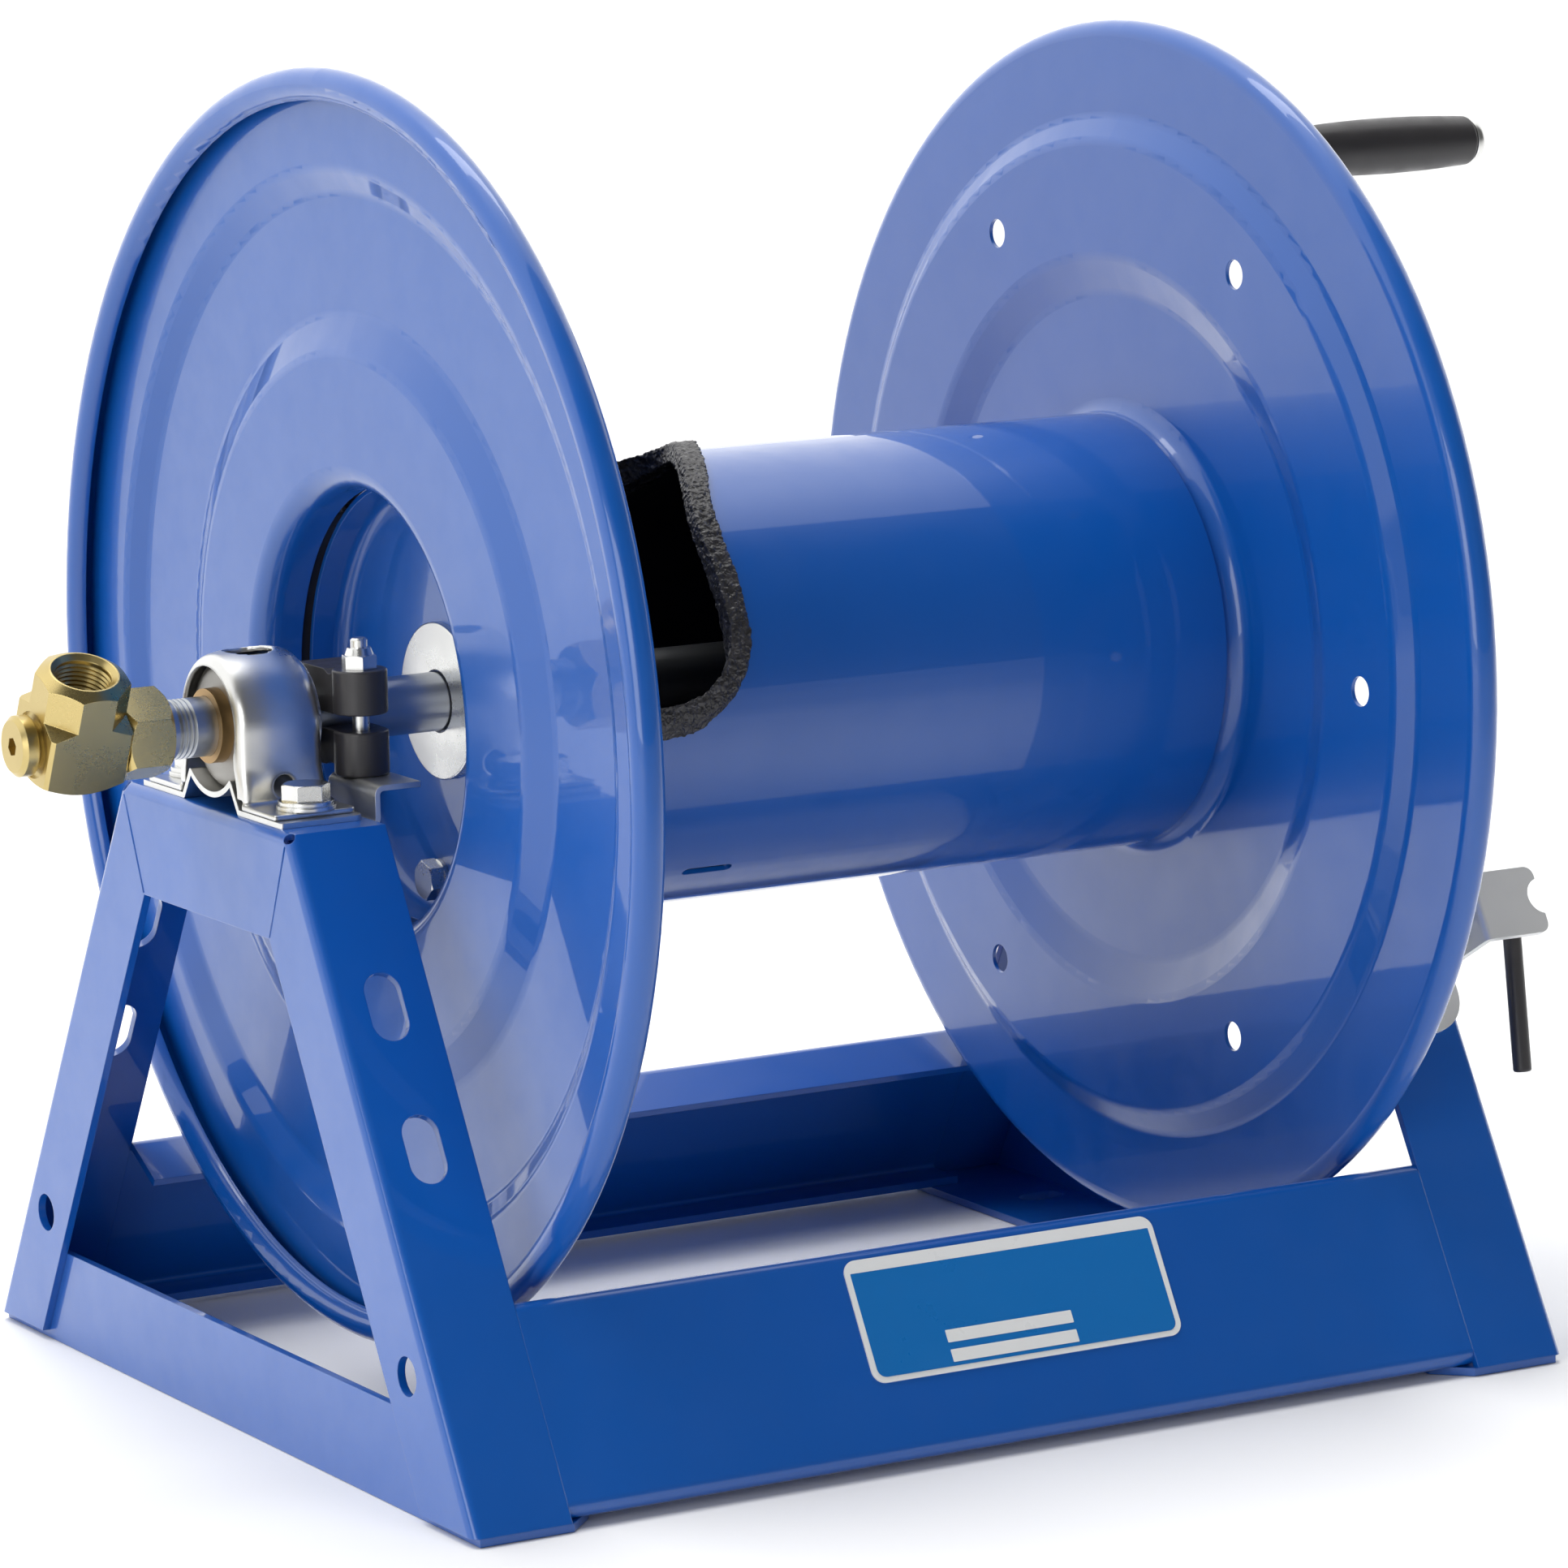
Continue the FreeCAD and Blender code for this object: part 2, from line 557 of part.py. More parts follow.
def brake_nut():
    """The lock nut: a hex with a round collar on top."""
    z = AXIS_Z + BRAKE_H
    nut = hex_nut(11.2, (BRAKE_X, BRAKE_BOLT_Y, z), (0, 0, 5.0), turn=15)
    collar = Part.makeCone(5.2, 4.2, 2.8, V(BRAKE_X, BRAKE_BOLT_Y, z + 4.8))
    return nut.fuse(collar).cut(rod_z(BRAKE_BOLT_R, BRAKE_X, BRAKE_BOLT_Y, z - 1, z + 12))


# ---- drum ----
def disc():
    """The far disc: lip into the drum, three flats with joggles between them, and a curled rim."""
    curl = (DISC_R - DISC_SHEET / 2) - 222.75
    centre = 222.75
    flat = -curl

    def at(radius, out):
        return DISC_X + out, 0, AXIS_Z + radius

    lip = DRUM_R - DRUM_SHEET - DISC_SHEET / 2
    line = rounded_path([
        at(lip, -22), at(lip, flat), at(127, flat), at(141, flat - 5.5), at(184, flat - 5.5),
        at(193, flat), at(centre, flat),
    ], [8.0, 9.0, 9.0, 6.0, 6.0])
    turn = math.radians(165)
    half = turn / 2
    rim = [
        Part.Arc(V(*at(centre, flat)), V(*at(centre + curl, 0)), V(*at(centre, curl))).toShape(),
        Part.Arc(V(*at(centre, curl)), V(*at(centre - curl * math.sin(half - 0.65), curl * math.cos(half - 0.65))),
                 V(*at(centre - curl * math.sin(turn / 2), curl * math.cos(turn / 2)))).toShape(),
    ]
    middle = Part.Wire(line.Edges + rim)
    face = thicken(middle.makeOffset2D(-DISC_SHEET / 2, openResult=True), DISC_SHEET)
    return spin_about_axle(face)


def far_disc():
    plate = disc()
    radius = pin_radius()
    for i in range(INDEX_HOLES):
        y, z = around(radius, INDEX_PHASE + 360.0 * i / INDEX_HOLES)
        plate = plate.cut(rod_x(INDEX_HOLE_R, DISC_X - 20, DISC_X + 5, y, z))
    return plate


def slot_prism(margin):
    """The hose slot, grown by a margin: its outline on the unrolled drum, pushed out through the wall."""
    low, high = (math.radians(a) * DRUM_R for a in SLOT_ANGLES)
    middle = (low + high) / 2
    knee = math.radians(SLOT_KNEE) * DRUM_R - middle
    half = (high - low) / 2
    flat = rounded_path([(-175, -half, 0), (SLOT_SIDE_X, -half, 0), (SLOT_SIDE_X, knee, 0),
                         (SLOT_TOP_X, half, 0), (-175, half, 0)], SLOT_RADII)
    if margin:
        flat = flat.makeOffset2D(margin, openResult=True)
    rolled = [V(p.x, DRUM_R * math.sin(p.y / DRUM_R), 0) for p in flat.discretize(Distance=4.0)]
    curve = Part.BSplineCurve()
    curve.interpolate(rolled)
    outline = Part.Wire([curve.toShape(), Part.LineSegment(rolled[-1], rolled[0]).toShape()])
    plate = Part.Face(outline).extrude(V(0, 0, DRUM_R + 20))
    sin, cos = math.sin(middle / DRUM_R), math.cos(middle / DRUM_R)
    frame = FreeCAD.Matrix(1, 0, 0, 0, 0, sin, -cos, 0, 0, cos, sin, AXIS_Z, 0, 0, 0, 1)
    return plate.transformed(frame)


def drum_shell():
    """The winding surface, with the hose slot and a small tie slot."""
    shell = ring_x(DRUM_R, DRUM_R - DRUM_SHEET, -DRUM_HALF, DRUM_HALF)
    shell = shell.cut(slot_prism(0))
    x, angle = HOSE_TIE_SLOT
    y, z = around(DRUM_R, 180 - angle)
    slot = slot_cutter(0, 0, 4.0, 20.0, along_x=True)
    slot.Placement = FreeCAD.Placement(V(x, y, z), FreeCAD.Rotation(V(0, 0, 1), V(0, y, z - AXIS_Z)))
    return shell.cut(slot)


def slot_trim():
    """The rubber edging that grips the slot's edge on both sides."""
    inside, outside = TRIM_MARGINS
    band = slot_prism(outside).cut(slot_prism(inside))
    wall = DRUM_R - DRUM_SHEET
    trim = ring_x(TRIM_R[1], wall, TRIM_X[0], 0).fuse(ring_x(wall, TRIM_R[0], TRIM_X[1], 0))
    return trim.common(band).cut(drum_shell()).removeSplitter()


def hub_cup():
    """The far hub: a pressed cup inside the drum, open outwards."""
    rim = DRUM_R - DRUM_SHEET
    back = HUB_X - HUB_T
    path = rounded_path([(HUB_RIM_X, 0, AXIS_Z + rim), (back, 0, AXIS_Z + rim), (back, 0, AXIS_Z + AXLE_R)], [7.0])
    cup = spin_about_axle(thicken(path, HUB_T))
    radius, angle = HUB_HOLE
    y, z = around(radius, angle)
    cup = cup.cut(rod_x(HUB_HOLE_R, HUB_X - 10, HUB_X + 10, y, z))
    for angle in TIE_ANGLES:
        y, z = around(TIE_R, angle)
        cup = cup.cut(rod_x(TIE_ROD_R + 0.2, HUB_X - 10, HUB_X + 10, y, z))
    return cup


def hub_washer():
    washer = rod_x(HUB_WASHER_R, HUB_X, HUB_X + HUB_WASHER_T)
    washer = round_edges(washer, 0.6, lambda e: e.Curve.TypeId == "Part::GeomCircle"
                         and e.CenterOfMass.x > HUB_X + 1)
    return washer.cut(rod_x(AXLE_R + 0.8, HUB_X - 1, HUB_X + 10))


def tie_rods():
    """Three through rods with hex heads at the inlet end."""
    rods = []
    for angle in TIE_ANGLES:
        y, z = around(TIE_R, angle)
        shank = rod_x(TIE_ROD_R, -HUB_X - 2, HUB_X + 11, y, z)
        flange = rod_x(7.2, -HUB_X - 1.6, -HUB_X, y, z)
        head = hex_nut(13.0, (-HUB_X - 1.6, y, z), (-5.6, 0, 0), turn=12)
        rods.append(shank.fuse(flange).fuse(head))
    return group(rods)


def tie_rod_nuts():
    nuts = []
    for angle in TIE_ANGLES:
        y, z = around(TIE_R, angle)
        nut = hex_nut(13.0, (HUB_X, y, z), (6.8, 0, 0))
        nuts.append(nut.cut(rod_x(TIE_ROD_R, HUB_X - 1, HUB_X + 20, y, z)))
    return group(nuts)


# ---- axle, riser and swivel ----
def axle():
    """The through axle, hollow from the inlet to the riser, with thread turns outside the near bearing."""
    bar = rod_x(AXLE_R, *AXLE_X)
    bar = bar.cut(rod_x(AXLE_BORE_R, AXLE_X[0] - 1, RISER_X + AXLE_BORE_R))
    bar = bar.cut(rod(AXLE_BORE_R, (RISER_X, 0, AXIS_Z), (RISER_X, -AXLE_R - 5, AXIS_Z)))
    first, pitch, depth = -236.6, 1.8, 0.8
    for i in range(4):
        x = first + pitch * i
        groove = [(x - pitch / 2.4, 0, AXIS_Z + AXLE_R + 0.1), (x + pitch / 2.4, 0, AXIS_Z + AXLE_R + 0.1),
                  (x, 0, AXIS_Z + AXLE_R - depth)]
        corners = [V(*p) for p in groove]
        bar = bar.cut(spin_about_axle(Part.Face(Part.makePolygon(corners + corners[:1]))))
    return bar


def riser_stub():
    pipe = rod(AXLE_R, (RISER_X, -4, AXIS_Z), (RISER_X, RISER_Y + ELBOW_SOCKET, AXIS_Z))
    pipe = pipe.cut(rod(AXLE_BORE_R, (RISER_X, 0, AXIS_Z), (RISER_X, RISER_Y, AXIS_Z)))
    return pipe.cut(rod_x(AXLE_R, RISER_X - 20, RISER_X + 20))


def riser_elbow():
    """The elbow that turns the water upwards to the outlet."""
    centre = (RISER_X, RISER_Y, AXIS_Z)
    outer = 14.5
    shape = Part.makeSphere(outer, V(*centre))
    shape = shape.fuse(rod(outer, centre, (RISER_X, RISER_Y + 20, AXIS_Z)))
    shape = shape.fuse(rod(outer, centre, (RISER_X, RISER_Y, AXIS_Z + 20)))
    bores = [
        rod(AXLE_BORE_R, centre, (RISER_X, RISER_Y + 21, AXIS_Z)),
        rod(AXLE_BORE_R, centre, (RISER_X, RISER_Y, AXIS_Z + 21)),
        rod(AXLE_R, (RISER_X, RISER_Y + ELBOW_SOCKET, AXIS_Z), (RISER_X, RISER_Y + 21, AXIS_Z)),
        rod(AXLE_R, (RISER_X, RISER_Y, AXIS_Z + ELBOW_SOCKET), (RISER_X, RISER_Y, AXIS_Z + 21)),
        Part.makeSphere(AXLE_BORE_R, V(*centre)),
    ]
    for bore in bores:
        shape = shape.cut(bore)
    return shape.removeSplitter()


def outlet_nipple():
    start = AXIS_Z + ELBOW_SOCKET
    shoulder, end = OUTLET_Z
    pipe = rod_z(AXLE_R, RISER_X, RISER_Y, start, shoulder).fuse(rod_z(OUTLET_R, RISER_X, RISER_Y, shoulder, end))
    return pipe.cut(rod_z(AXLE_BORE_R, RISER_X, RISER_Y, start - 1, end + 1))


def swivel_stem():
    """The hex that screws on the axle, with the journal that the swivel body turns on."""
    x0, x1 = STEM_HEX
    stem = hexagon(STEM_AF, (x0, 0, AXIS_Z), (x1 - x0, 0, 0), turn=STEM_TURN)
    chamfer = Part.makeCone(STEM_AF / 2, STEM_AF / 2 + 14, 14, V(x0, 0, AXIS_Z), V(1, 0, 0))
    far_chamfer = Part.makeCone(STEM_AF / 2, STEM_AF / 2 + 14, 14, V(x1, 0, AXIS_Z), V(-1, 0, 0))
    reach = chamfer.fuse(rod_x(60, x0 + 14, x1)).common(far_chamfer.fuse(rod_x(60, x0, x1 - 14)))
    stem = stem.common(reach)
    stem = stem.fuse(rod_x(JOURNAL_R, JOURNAL_END, x0 + 1))
    stem = stem.cut(rod_x(6.5, JOURNAL_END - 1, x1)).cut(rod_x(AXLE_R, AXLE_X[0], x1 + 5))
    return stem.removeSplitter()


def to_swivel(shape):
    """Lean a part that was drawn upright to the swivel's place at rest."""
    shape.rotate(V(0, 0, AXIS_Z), V(1, 0, 0), SWIVEL_TILT)
    return shape


def swivel_body():
    """The brass body: a square block, cut to an octagon near the port, with both ends turned off."""
    half_x, half_y = SWIVEL_HALF
    low, high = (AXIS_Z + p for p in SWIVEL_P)
    x0, x1 = PORT_X - half_x, PORT_X + half_x
    body = box(x0, x1, -half_y, half_y, low, high)
    body = body.makeChamfer(1.3, [e for e in body.Edges if abs(e.Vertexes[0].Z - e.Vertexes[-1].Z) > 5])
    facet = AXIS_Z + FACET_P
    for angle in (45, 135, 225, 315):
        out = V(math.cos(math.radians(angle)), math.sin(math.radians(angle)), 0)
        along = V(-out.y, out.x, 0) * 20
        side = [(half_y, facet), (half_y + 10, facet - 10 * FACET_FALL), (half_y + 10, high + 1), (half_y, high + 1)]
        corners = [V(PORT_X, 0, 0) + out * d + V(0, 0, z) - along / 2 for d, z in side]
        body = body.cut(prism([tuple(c) for c in corners], tuple(along)))
    lathe = [(0, low), (12.5, low), (22.5, low + 5.8), (22.5, high - 6.4), (12.4, high), (0, high)]
    profile = Part.Face(Part.makePolygon([V(PORT_X + r, 0, z) for r, z in lathe + lathe[:1]]))
    body = body.common(profile.revolve(V(PORT_X, 0, 0), V(0, 0, 1), 360))
    mouth = Part.makeCone(PORT_R, PORT_R + PORT_MOUTH, PORT_MOUTH, V(PORT_X, 0, high - PORT_MOUTH))
    for cutter in (rod_x(JOURNAL_R + RUNNING, PORT_X, x1 + 1), rod_z(PORT_R, PORT_X, 0, AXIS_Z + PORT_P, high + 1),
                   rod_z(WATERWAY_R, PORT_X, 0, AXIS_Z - 6, high), mouth, ring_x(SEAL_R, JOURNAL_R, *SEAL_X), rod_x(COUNTERBORE_R, x0 - 1, x0 + 1.2)):
        body = body.cut(cutter)
    return to_swivel(body.removeSplitter())


def swivel_seal():
    return ring_x(SEAL_R, JOURNAL_R + RUNNING, *SEAL_X)


def swivel_end_cap():
    """The plug that closes the body: neck, bevelled head and hex socket."""
    neck_end = PORT_X - SWIVEL_HALF[0] + 1.2
    head = rod_x(CAP_HEAD_R, *CAP_HEAD)
    outer = [e for e in head.Edges if e.Curve.TypeId == "Part::GeomCircle" and e.CenterOfMass.x < CAP_HEAD[0] + 1]
    head = head.makeChamfer(1.6, outer)
    cap = head.fuse(rod_x(CAP_NECK_R, CAP_HEAD[1] - 1, neck_end))
    return cap.cut(hexagon(6.0, (CAP_HEAD[0], 0, AXIS_Z), (3.5, 0, 0), turn=20))


# ---- crank ----
def crank_hub():
    hub = rod_x(CRANK_HUB_R, *CRANK_HUB)
    hub = hub.makeChamfer(1.0, [e for e in hub.Edges if e.Curve.TypeId == "Part::GeomCircle"])
    hub = hub.cut(rod_x(AXLE_R, CRANK_HUB[0] - 1, CRANK_HUB[1] + 1))
    return hub.cut(crank_screw_shape())


def crank_screw_shape():
    y, z = around(1.0, crank_angle())
    direction = V(0, y, z - AXIS_Z)
    x = (CRANK_HUB[0] + ARM_X[0]) / 2
    return Part.makeCylinder(4.0, CRANK_HUB_R - AXLE_R + 2.5, V(x, 0, AXIS_Z) + direction * AXLE_R, direction)


def crank_angle():
    return math.degrees(math.atan2(GRIP_Z, GRIP_Y))


def crank_set_screw():
    screw = crank_screw_shape()
    y, z = around(1.0, crank_angle())
    direction = V(0, y, z - AXIS_Z)
    x = (CRANK_HUB[0] + ARM_X[0]) / 2
    top = V(x, 0, AXIS_Z) + direction * (CRANK_HUB_R + 2.5 - 3.5)
    return screw.cut(hexagon(4.0, tuple(top), tuple(direction * 5)))


def crank_arm():
    """A flat bar from the hub to the grip, its ends round."""
    x0, x1 = ARM_X
    big, small = 21.0, 13.0
    length = math.hypot(GRIP_Y, GRIP_Z)
    lean = math.asin((big - small) / length)
    sides = []
    for sign in (1, -1):
        pair = [(0, big), (length, small)]
        points = [(x0, sign * r * math.cos(lean), d + r * math.sin(lean)) for d, r in pair]
        sides.append(points)
    bar = prism([sides[0][0], sides[0][1], sides[1][1], sides[1][0]], (x1 - x0, 0, 0))
    bar = bar.fuse(rod_x(big, x0, x1, 0, 0)).fuse(rod_x(small, x0, x1, 0, length))
    turn = 90.0 - crank_angle()
    bar.rotate(V(0, 0, 0), V(1, 0, 0), -turn)
    bar.translate(V(0, 0, AXIS_Z))
    bar = bar.cut(rod_x(CRANK_HUB_R, x0 - 1, x1 + 1))
    bar = bar.cut(rod_x(SPINDLE_R, x0 - 1, x1 + 1, GRIP_Y, AXIS_Z + GRIP_Z))
    return bar.removeSplitter()


def grip_spindle():
    """The bolt that the grip turns on, with a shoulder at the arm and a domed head."""
    z = AXIS_Z + GRIP_Z
    head = rod_x(8.4, GRIP_X[1] + 0.5, GRIP_X[1] + 5.0, GRIP_Y, z)
    dome = [e for e in head.Edges if e.Curve.TypeId == "Part::GeomCircle" and e.CenterOfMass.x > GRIP_X[1] + 3]
    head = head.makeFillet(3.4, dome)
    spindle = rod_x(SPINDLE_R, ARM_X[0], GRIP_X[1] + 1, GRIP_Y, z)
    shoulder = rod_x(8.0, ARM_X[1], GRIP_X[0] - 0.5, GRIP_Y, z)
    return spindle.fuse(head).fuse(shoulder)


def crank_grip():
    """The barrel-shaped sleeve."""
    x0, x1 = GRIP_X
    middle = (x0 + x1) / 2
    r0, r1, r2 = GRIP_RADII
    z = AXIS_Z + GRIP_Z
    crown = Part.Arc(V(x0, 0, r0), V(middle, 0, r1), V(x1, 0, r2)).toShape()
    bore = SPINDLE_R + RUNNING
    sides = [V(x1, 0, r2), V(x1, 0, bore), V(x0, 0, bore), V(x0, 0, r0)]
    edges = [crown] + [Part.LineSegment(a, b).toShape() for a, b in zip(sides, sides[1:])]
    grip = Part.Face(Part.Wire(edges)).revolve(V(0, 0, 0), V(1, 0, 0), 360)
    rims = [e for e in grip.Edges if e.Curve.TypeId == "Part::GeomCircle" and e.Curve.Radius > r0 - 0.2
            and e.Curve.Radius < r1 - 0.5 and len(e.Vertexes) == 1]
    grip = grip.makeFillet(1.6, rims)
    grip.translate(V(0, GRIP_Y, z))
    return grip


# ---- pin lock ----
def pin_point():
    return leg_point(PIN_S, PIN_OUT)


def pin_radius():
    y, z = pin_point()
    return math.hypot(y, z - AXIS_Z)


def lock_bracket():
    """Zinc bracket on the far stand's front leg: base, two webs that guide the pin, and a notched face."""
    x0, x1 = LOCK_X
    s0, s1 = LOCK_S
    b0, b1 = LOCK_BASE_S
    t = SHEET
    base = rounded_plate([(x0, b0, 0), (x0, b1, 0), (x1, b1, 0), (x1, b0, 0)], [14, 14, 14, 14], (0, 0, t))
    inner_web = box(x0, x0 + t, s0, s1, 0, PIN_OUT + 10)
    outer_web = box(x1 - t, x1, s0, s1, 0, LOCK_OUT)
    face = rounded_plate([(x1 - t, s0, 0), (x1 - t, s1, 0), (LOCK_FACE_X, s1, 0), (LOCK_FACE_X, s0, 0)],
                         [0.5, 0.5, 4.0, 4.0], (0, 0, t))
    face.translate(V(0, 0, LOCK_OUT - t))
    folded = outer_web.fuse(face).removeSplitter()
    folded = round_edges(folded, 2.5, lambda e: e.Length > 20 and all(
        abs(v.X - (x1 - t)) < 0.1 and abs(v.Z - LOCK_OUT) < 0.1 for v in e.Vertexes))
    bracket = base.fuse(inner_web).fuse(folded).removeSplitter()
    notch_x, notch_s = NOTCH
    bracket = bracket.cut(Part.makeCylinder(NOTCH_R, 20, V(notch_x, notch_s, LOCK_OUT - 10)))
    for s in FLANGE_SLOTS:
        bracket = bracket.cut(Part.makeCylinder(4.3, 20, V(FLANGE_SLOT_X, s, -10)))
    bracket = bracket.cut(Part.makeCylinder(PIN_R + RUNNING, 60, V(x0 - 10, PIN_S, PIN_OUT), V(1, 0, 0)))
    return to_leg(bracket)


def lock_bolts():
    bolts = []
    for s in FLANGE_SLOTS:
        shank = Part.makeCylinder(4.0, 16.5, V(FLANGE_SLOT_X, s, -12.5))
        head = hex_nut(13.0, (FLANGE_SLOT_X, s, SHEET), (0, 0, 5.3))
        bolts.append(to_leg(shank.fuse(head)))
    return group(bolts)


def lock_nuts():
    """Flanged nuts behind the leg, wide enough to cover the slots."""
    nuts = []
    for s in FLANGE_SLOTS:
        nut = hex_nut(13.0, (FLANGE_SLOT_X, s, -SHEET - 1.5), (0, 0, -6.0))
        nut = nut.fuse(Part.makeCylinder(9.5, 1.5, V(FLANGE_SLOT_X, s, -SHEET - 1.5)))
        nuts.append(to_leg(nut.cut(Part.makeCylinder(4.0, 30, V(FLANGE_SLOT_X, s, -15)))))
    return group(nuts)


def handle_direction():
    lean = math.radians(HANDLE_LEAN)
    return V(0, -math.sin(lean), -math.cos(lean))


def lock_pin():
    """The pin, with a groove for its clip and a thin handle that hangs from its outer end."""
    y, z = pin_point()
    pin = rod_x(PIN_R, *PIN_X, y, z)
    ends = [e for e in pin.Edges if e.Curve.TypeId == "Part::GeomCircle"]
    pin = pin.makeChamfer(1.2, ends)
    groove = rod_x(PIN_R + 1, CLIP_X[0] - 0.1, CLIP_X[1] + 0.1, y, z)
    groove = groove.cut(rod_x(PIN_R - 0.8, CLIP_X[0] - 1, CLIP_X[1] + 1, y, z))
    handle = Part.makeCylinder(HANDLE_R, HANDLE_END - 1, V(HANDLE_X, y, z), handle_direction())
    return pin.cut(groove).fuse(handle)


def lock_handle_sleeve():
    """The moulded sleeve on the handle, closed at its lower end."""
    y, z = pin_point()
    direction = handle_direction()
    start = V(HANDLE_X, y, z) + direction * (PIN_R + 1.5)
    sleeve = Part.makeCylinder(SLEEVE_R, HANDLE_END - PIN_R - 1.5, start, direction)
    tip = [e for e in sleeve.Edges if e.Curve.TypeId == "Part::GeomCircle" and e.CenterOfMass.z < z - 30]
    sleeve = sleeve.makeFillet(1.0, tip)
    return sleeve.cut(Part.makeCylinder(HANDLE_R, HANDLE_END - 1, V(HANDLE_X, y, z), direction))


def lock_clip():
    y, z = pin_point()
    clip = rod_x(8.6, *CLIP_X, y, z)
    return clip.cut(rod_x(PIN_R - 0.8 + RUNNING, CLIP_X[0] - 1, CLIP_X[1] + 1, y, z))


def lock_spring():
    """The coil round the pin, between the clip and the outer web."""
    y, z = pin_point()
    length = SPRING_END - CLIP_X[1] - 2 * SPRING_WIRE_R - 0.1
    path = Part.makeHelix(SPRING_PITCH, length, SPRING_R)
    profile = Part.Wire([Part.makeCircle(SPRING_WIRE_R, V(SPRING_R, 0, 0), V(0, 1, 0))])
    coil = Part.Wire(path).makePipeShell([profile], True, True)
    coil.Placement = FreeCAD.Placement(V(CLIP_X[1] + SPRING_WIRE_R + 0.05, y, z),
                                       FreeCAD.Rotation(V(0, 0, 1), V(1, 0, 0)))
    return coil


def build():
    far_crossbar, far_stand, front_rail = crossbar(), stand(), rail()
    cradle, cap, insert = bearing_cradle(), bearing_cap(), bearing_insert()
    bush = ring_x(BUSH_R, AXLE_R + RUNNING, *BUSH_X)
    cup, washer = hub_cup(), hub_washer()
    return {
        "near_stand": mirror_x(far_stand), "far_stand": far_stand,
        "near_crossbar": mirror_x(far_crossbar), "far_crossbar": far_crossbar,
        "front_rail": front_rail, "back_rail": mirror_y(front_rail), "name_plate": name_plate(),
        "near_bearing_cradle": mirror_x(cradle), "far_bearing_cradle": cradle,
        "near_bearing_cap": mirror_x(cap), "far_bearing_cap": cap,
        "near_bearing_insert": mirror_x(insert), "far_bearing_insert": insert,
        "near_bearing_bush": mirror_x(bush), "far_bearing_bush": bush,
        "bearing_bolts": bearing_bolts(), "bearing_washers": bearing_washers(), "bearing_nuts": bearing_nuts(),
        "brake_bracket": brake_bracket(),
        "brake_lower_shoe": brake_shoe(-1, 15.8), "brake_upper_shoe": brake_shoe(1, 18.4),
        "brake_bolt": brake_bolt(), "brake_nut": brake_nut(),
        "near_disc": mirror_x(disc()), "far_disc": far_disc(),
        "drum_shell": drum_shell(), "slot_trim": slot_trim(),
        "near_hub_cup": mirror_x(cup), "far_hub_cup": cup,
        "near_hub_washer": mirror_x(washer), "far_hub_washer": washer,
        "tie_rods": tie_rods(), "tie_rod_nuts": tie_rod_nuts(),
        "axle": axle(), "riser_stub": riser_stub(), "riser_elbow": riser_elbow(),
        "outlet_nipple": outlet_nipple(),
        "swivel_stem": swivel_stem(), "swivel_body": swivel_body(), "swivel_seal": swivel_seal(),
        "swivel_end_cap": swivel_end_cap(),
        "crank_hub": crank_hub(), "crank_arm": crank_arm(), "crank_set_screw": crank_set_screw(),
        "grip_spindle": grip_spindle(), "crank_grip": crank_grip(),
        "lock_bracket": lock_bracket(), "lock_bolts": lock_bolts(), "lock_nuts": lock_nuts(),
        "lock_pin": lock_pin(), "lock_handle_sleeve": lock_handle_sleeve(), "lock_clip": lock_clip(),
        "lock_spring": lock_spring(),
    }


os.makedirs("parts", exist_ok=True)
for name, shape in build().items():
    if not shape.isValid():
        print("not valid:", name)
    if any(not s.isClosed() for s in shape.Shells):
        print("not closed:", name)
    print(f"{name}: {len(shape.Solids)} solid(s), {shape.Volume / 1000:.1f} cm3")
    shape.exportStep(f"parts/{name}.step")
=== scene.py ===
"""Looks for the fire hose reel: materials, fine pieces, floor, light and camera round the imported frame.

Everything is in metres in the frame's own axes: X along the axle towards the crank, Z up, floor at 0.
"""
import bpy
import json
import math
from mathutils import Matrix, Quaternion, Vector


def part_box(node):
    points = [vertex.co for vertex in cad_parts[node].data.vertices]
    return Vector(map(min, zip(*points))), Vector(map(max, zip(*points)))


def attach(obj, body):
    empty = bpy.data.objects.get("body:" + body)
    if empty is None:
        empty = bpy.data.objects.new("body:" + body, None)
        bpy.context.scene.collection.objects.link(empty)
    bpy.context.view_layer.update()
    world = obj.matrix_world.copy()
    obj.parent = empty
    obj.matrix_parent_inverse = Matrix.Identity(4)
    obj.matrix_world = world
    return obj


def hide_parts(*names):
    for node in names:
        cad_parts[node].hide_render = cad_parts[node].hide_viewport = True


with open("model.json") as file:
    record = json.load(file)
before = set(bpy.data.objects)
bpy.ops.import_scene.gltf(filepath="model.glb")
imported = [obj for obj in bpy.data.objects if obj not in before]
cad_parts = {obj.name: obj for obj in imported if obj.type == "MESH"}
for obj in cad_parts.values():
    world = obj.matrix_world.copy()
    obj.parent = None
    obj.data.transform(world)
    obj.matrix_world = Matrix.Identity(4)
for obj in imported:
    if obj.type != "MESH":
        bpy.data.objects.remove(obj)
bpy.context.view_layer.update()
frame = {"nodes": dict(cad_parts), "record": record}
NODES = frame["nodes"]
MM = 0.001

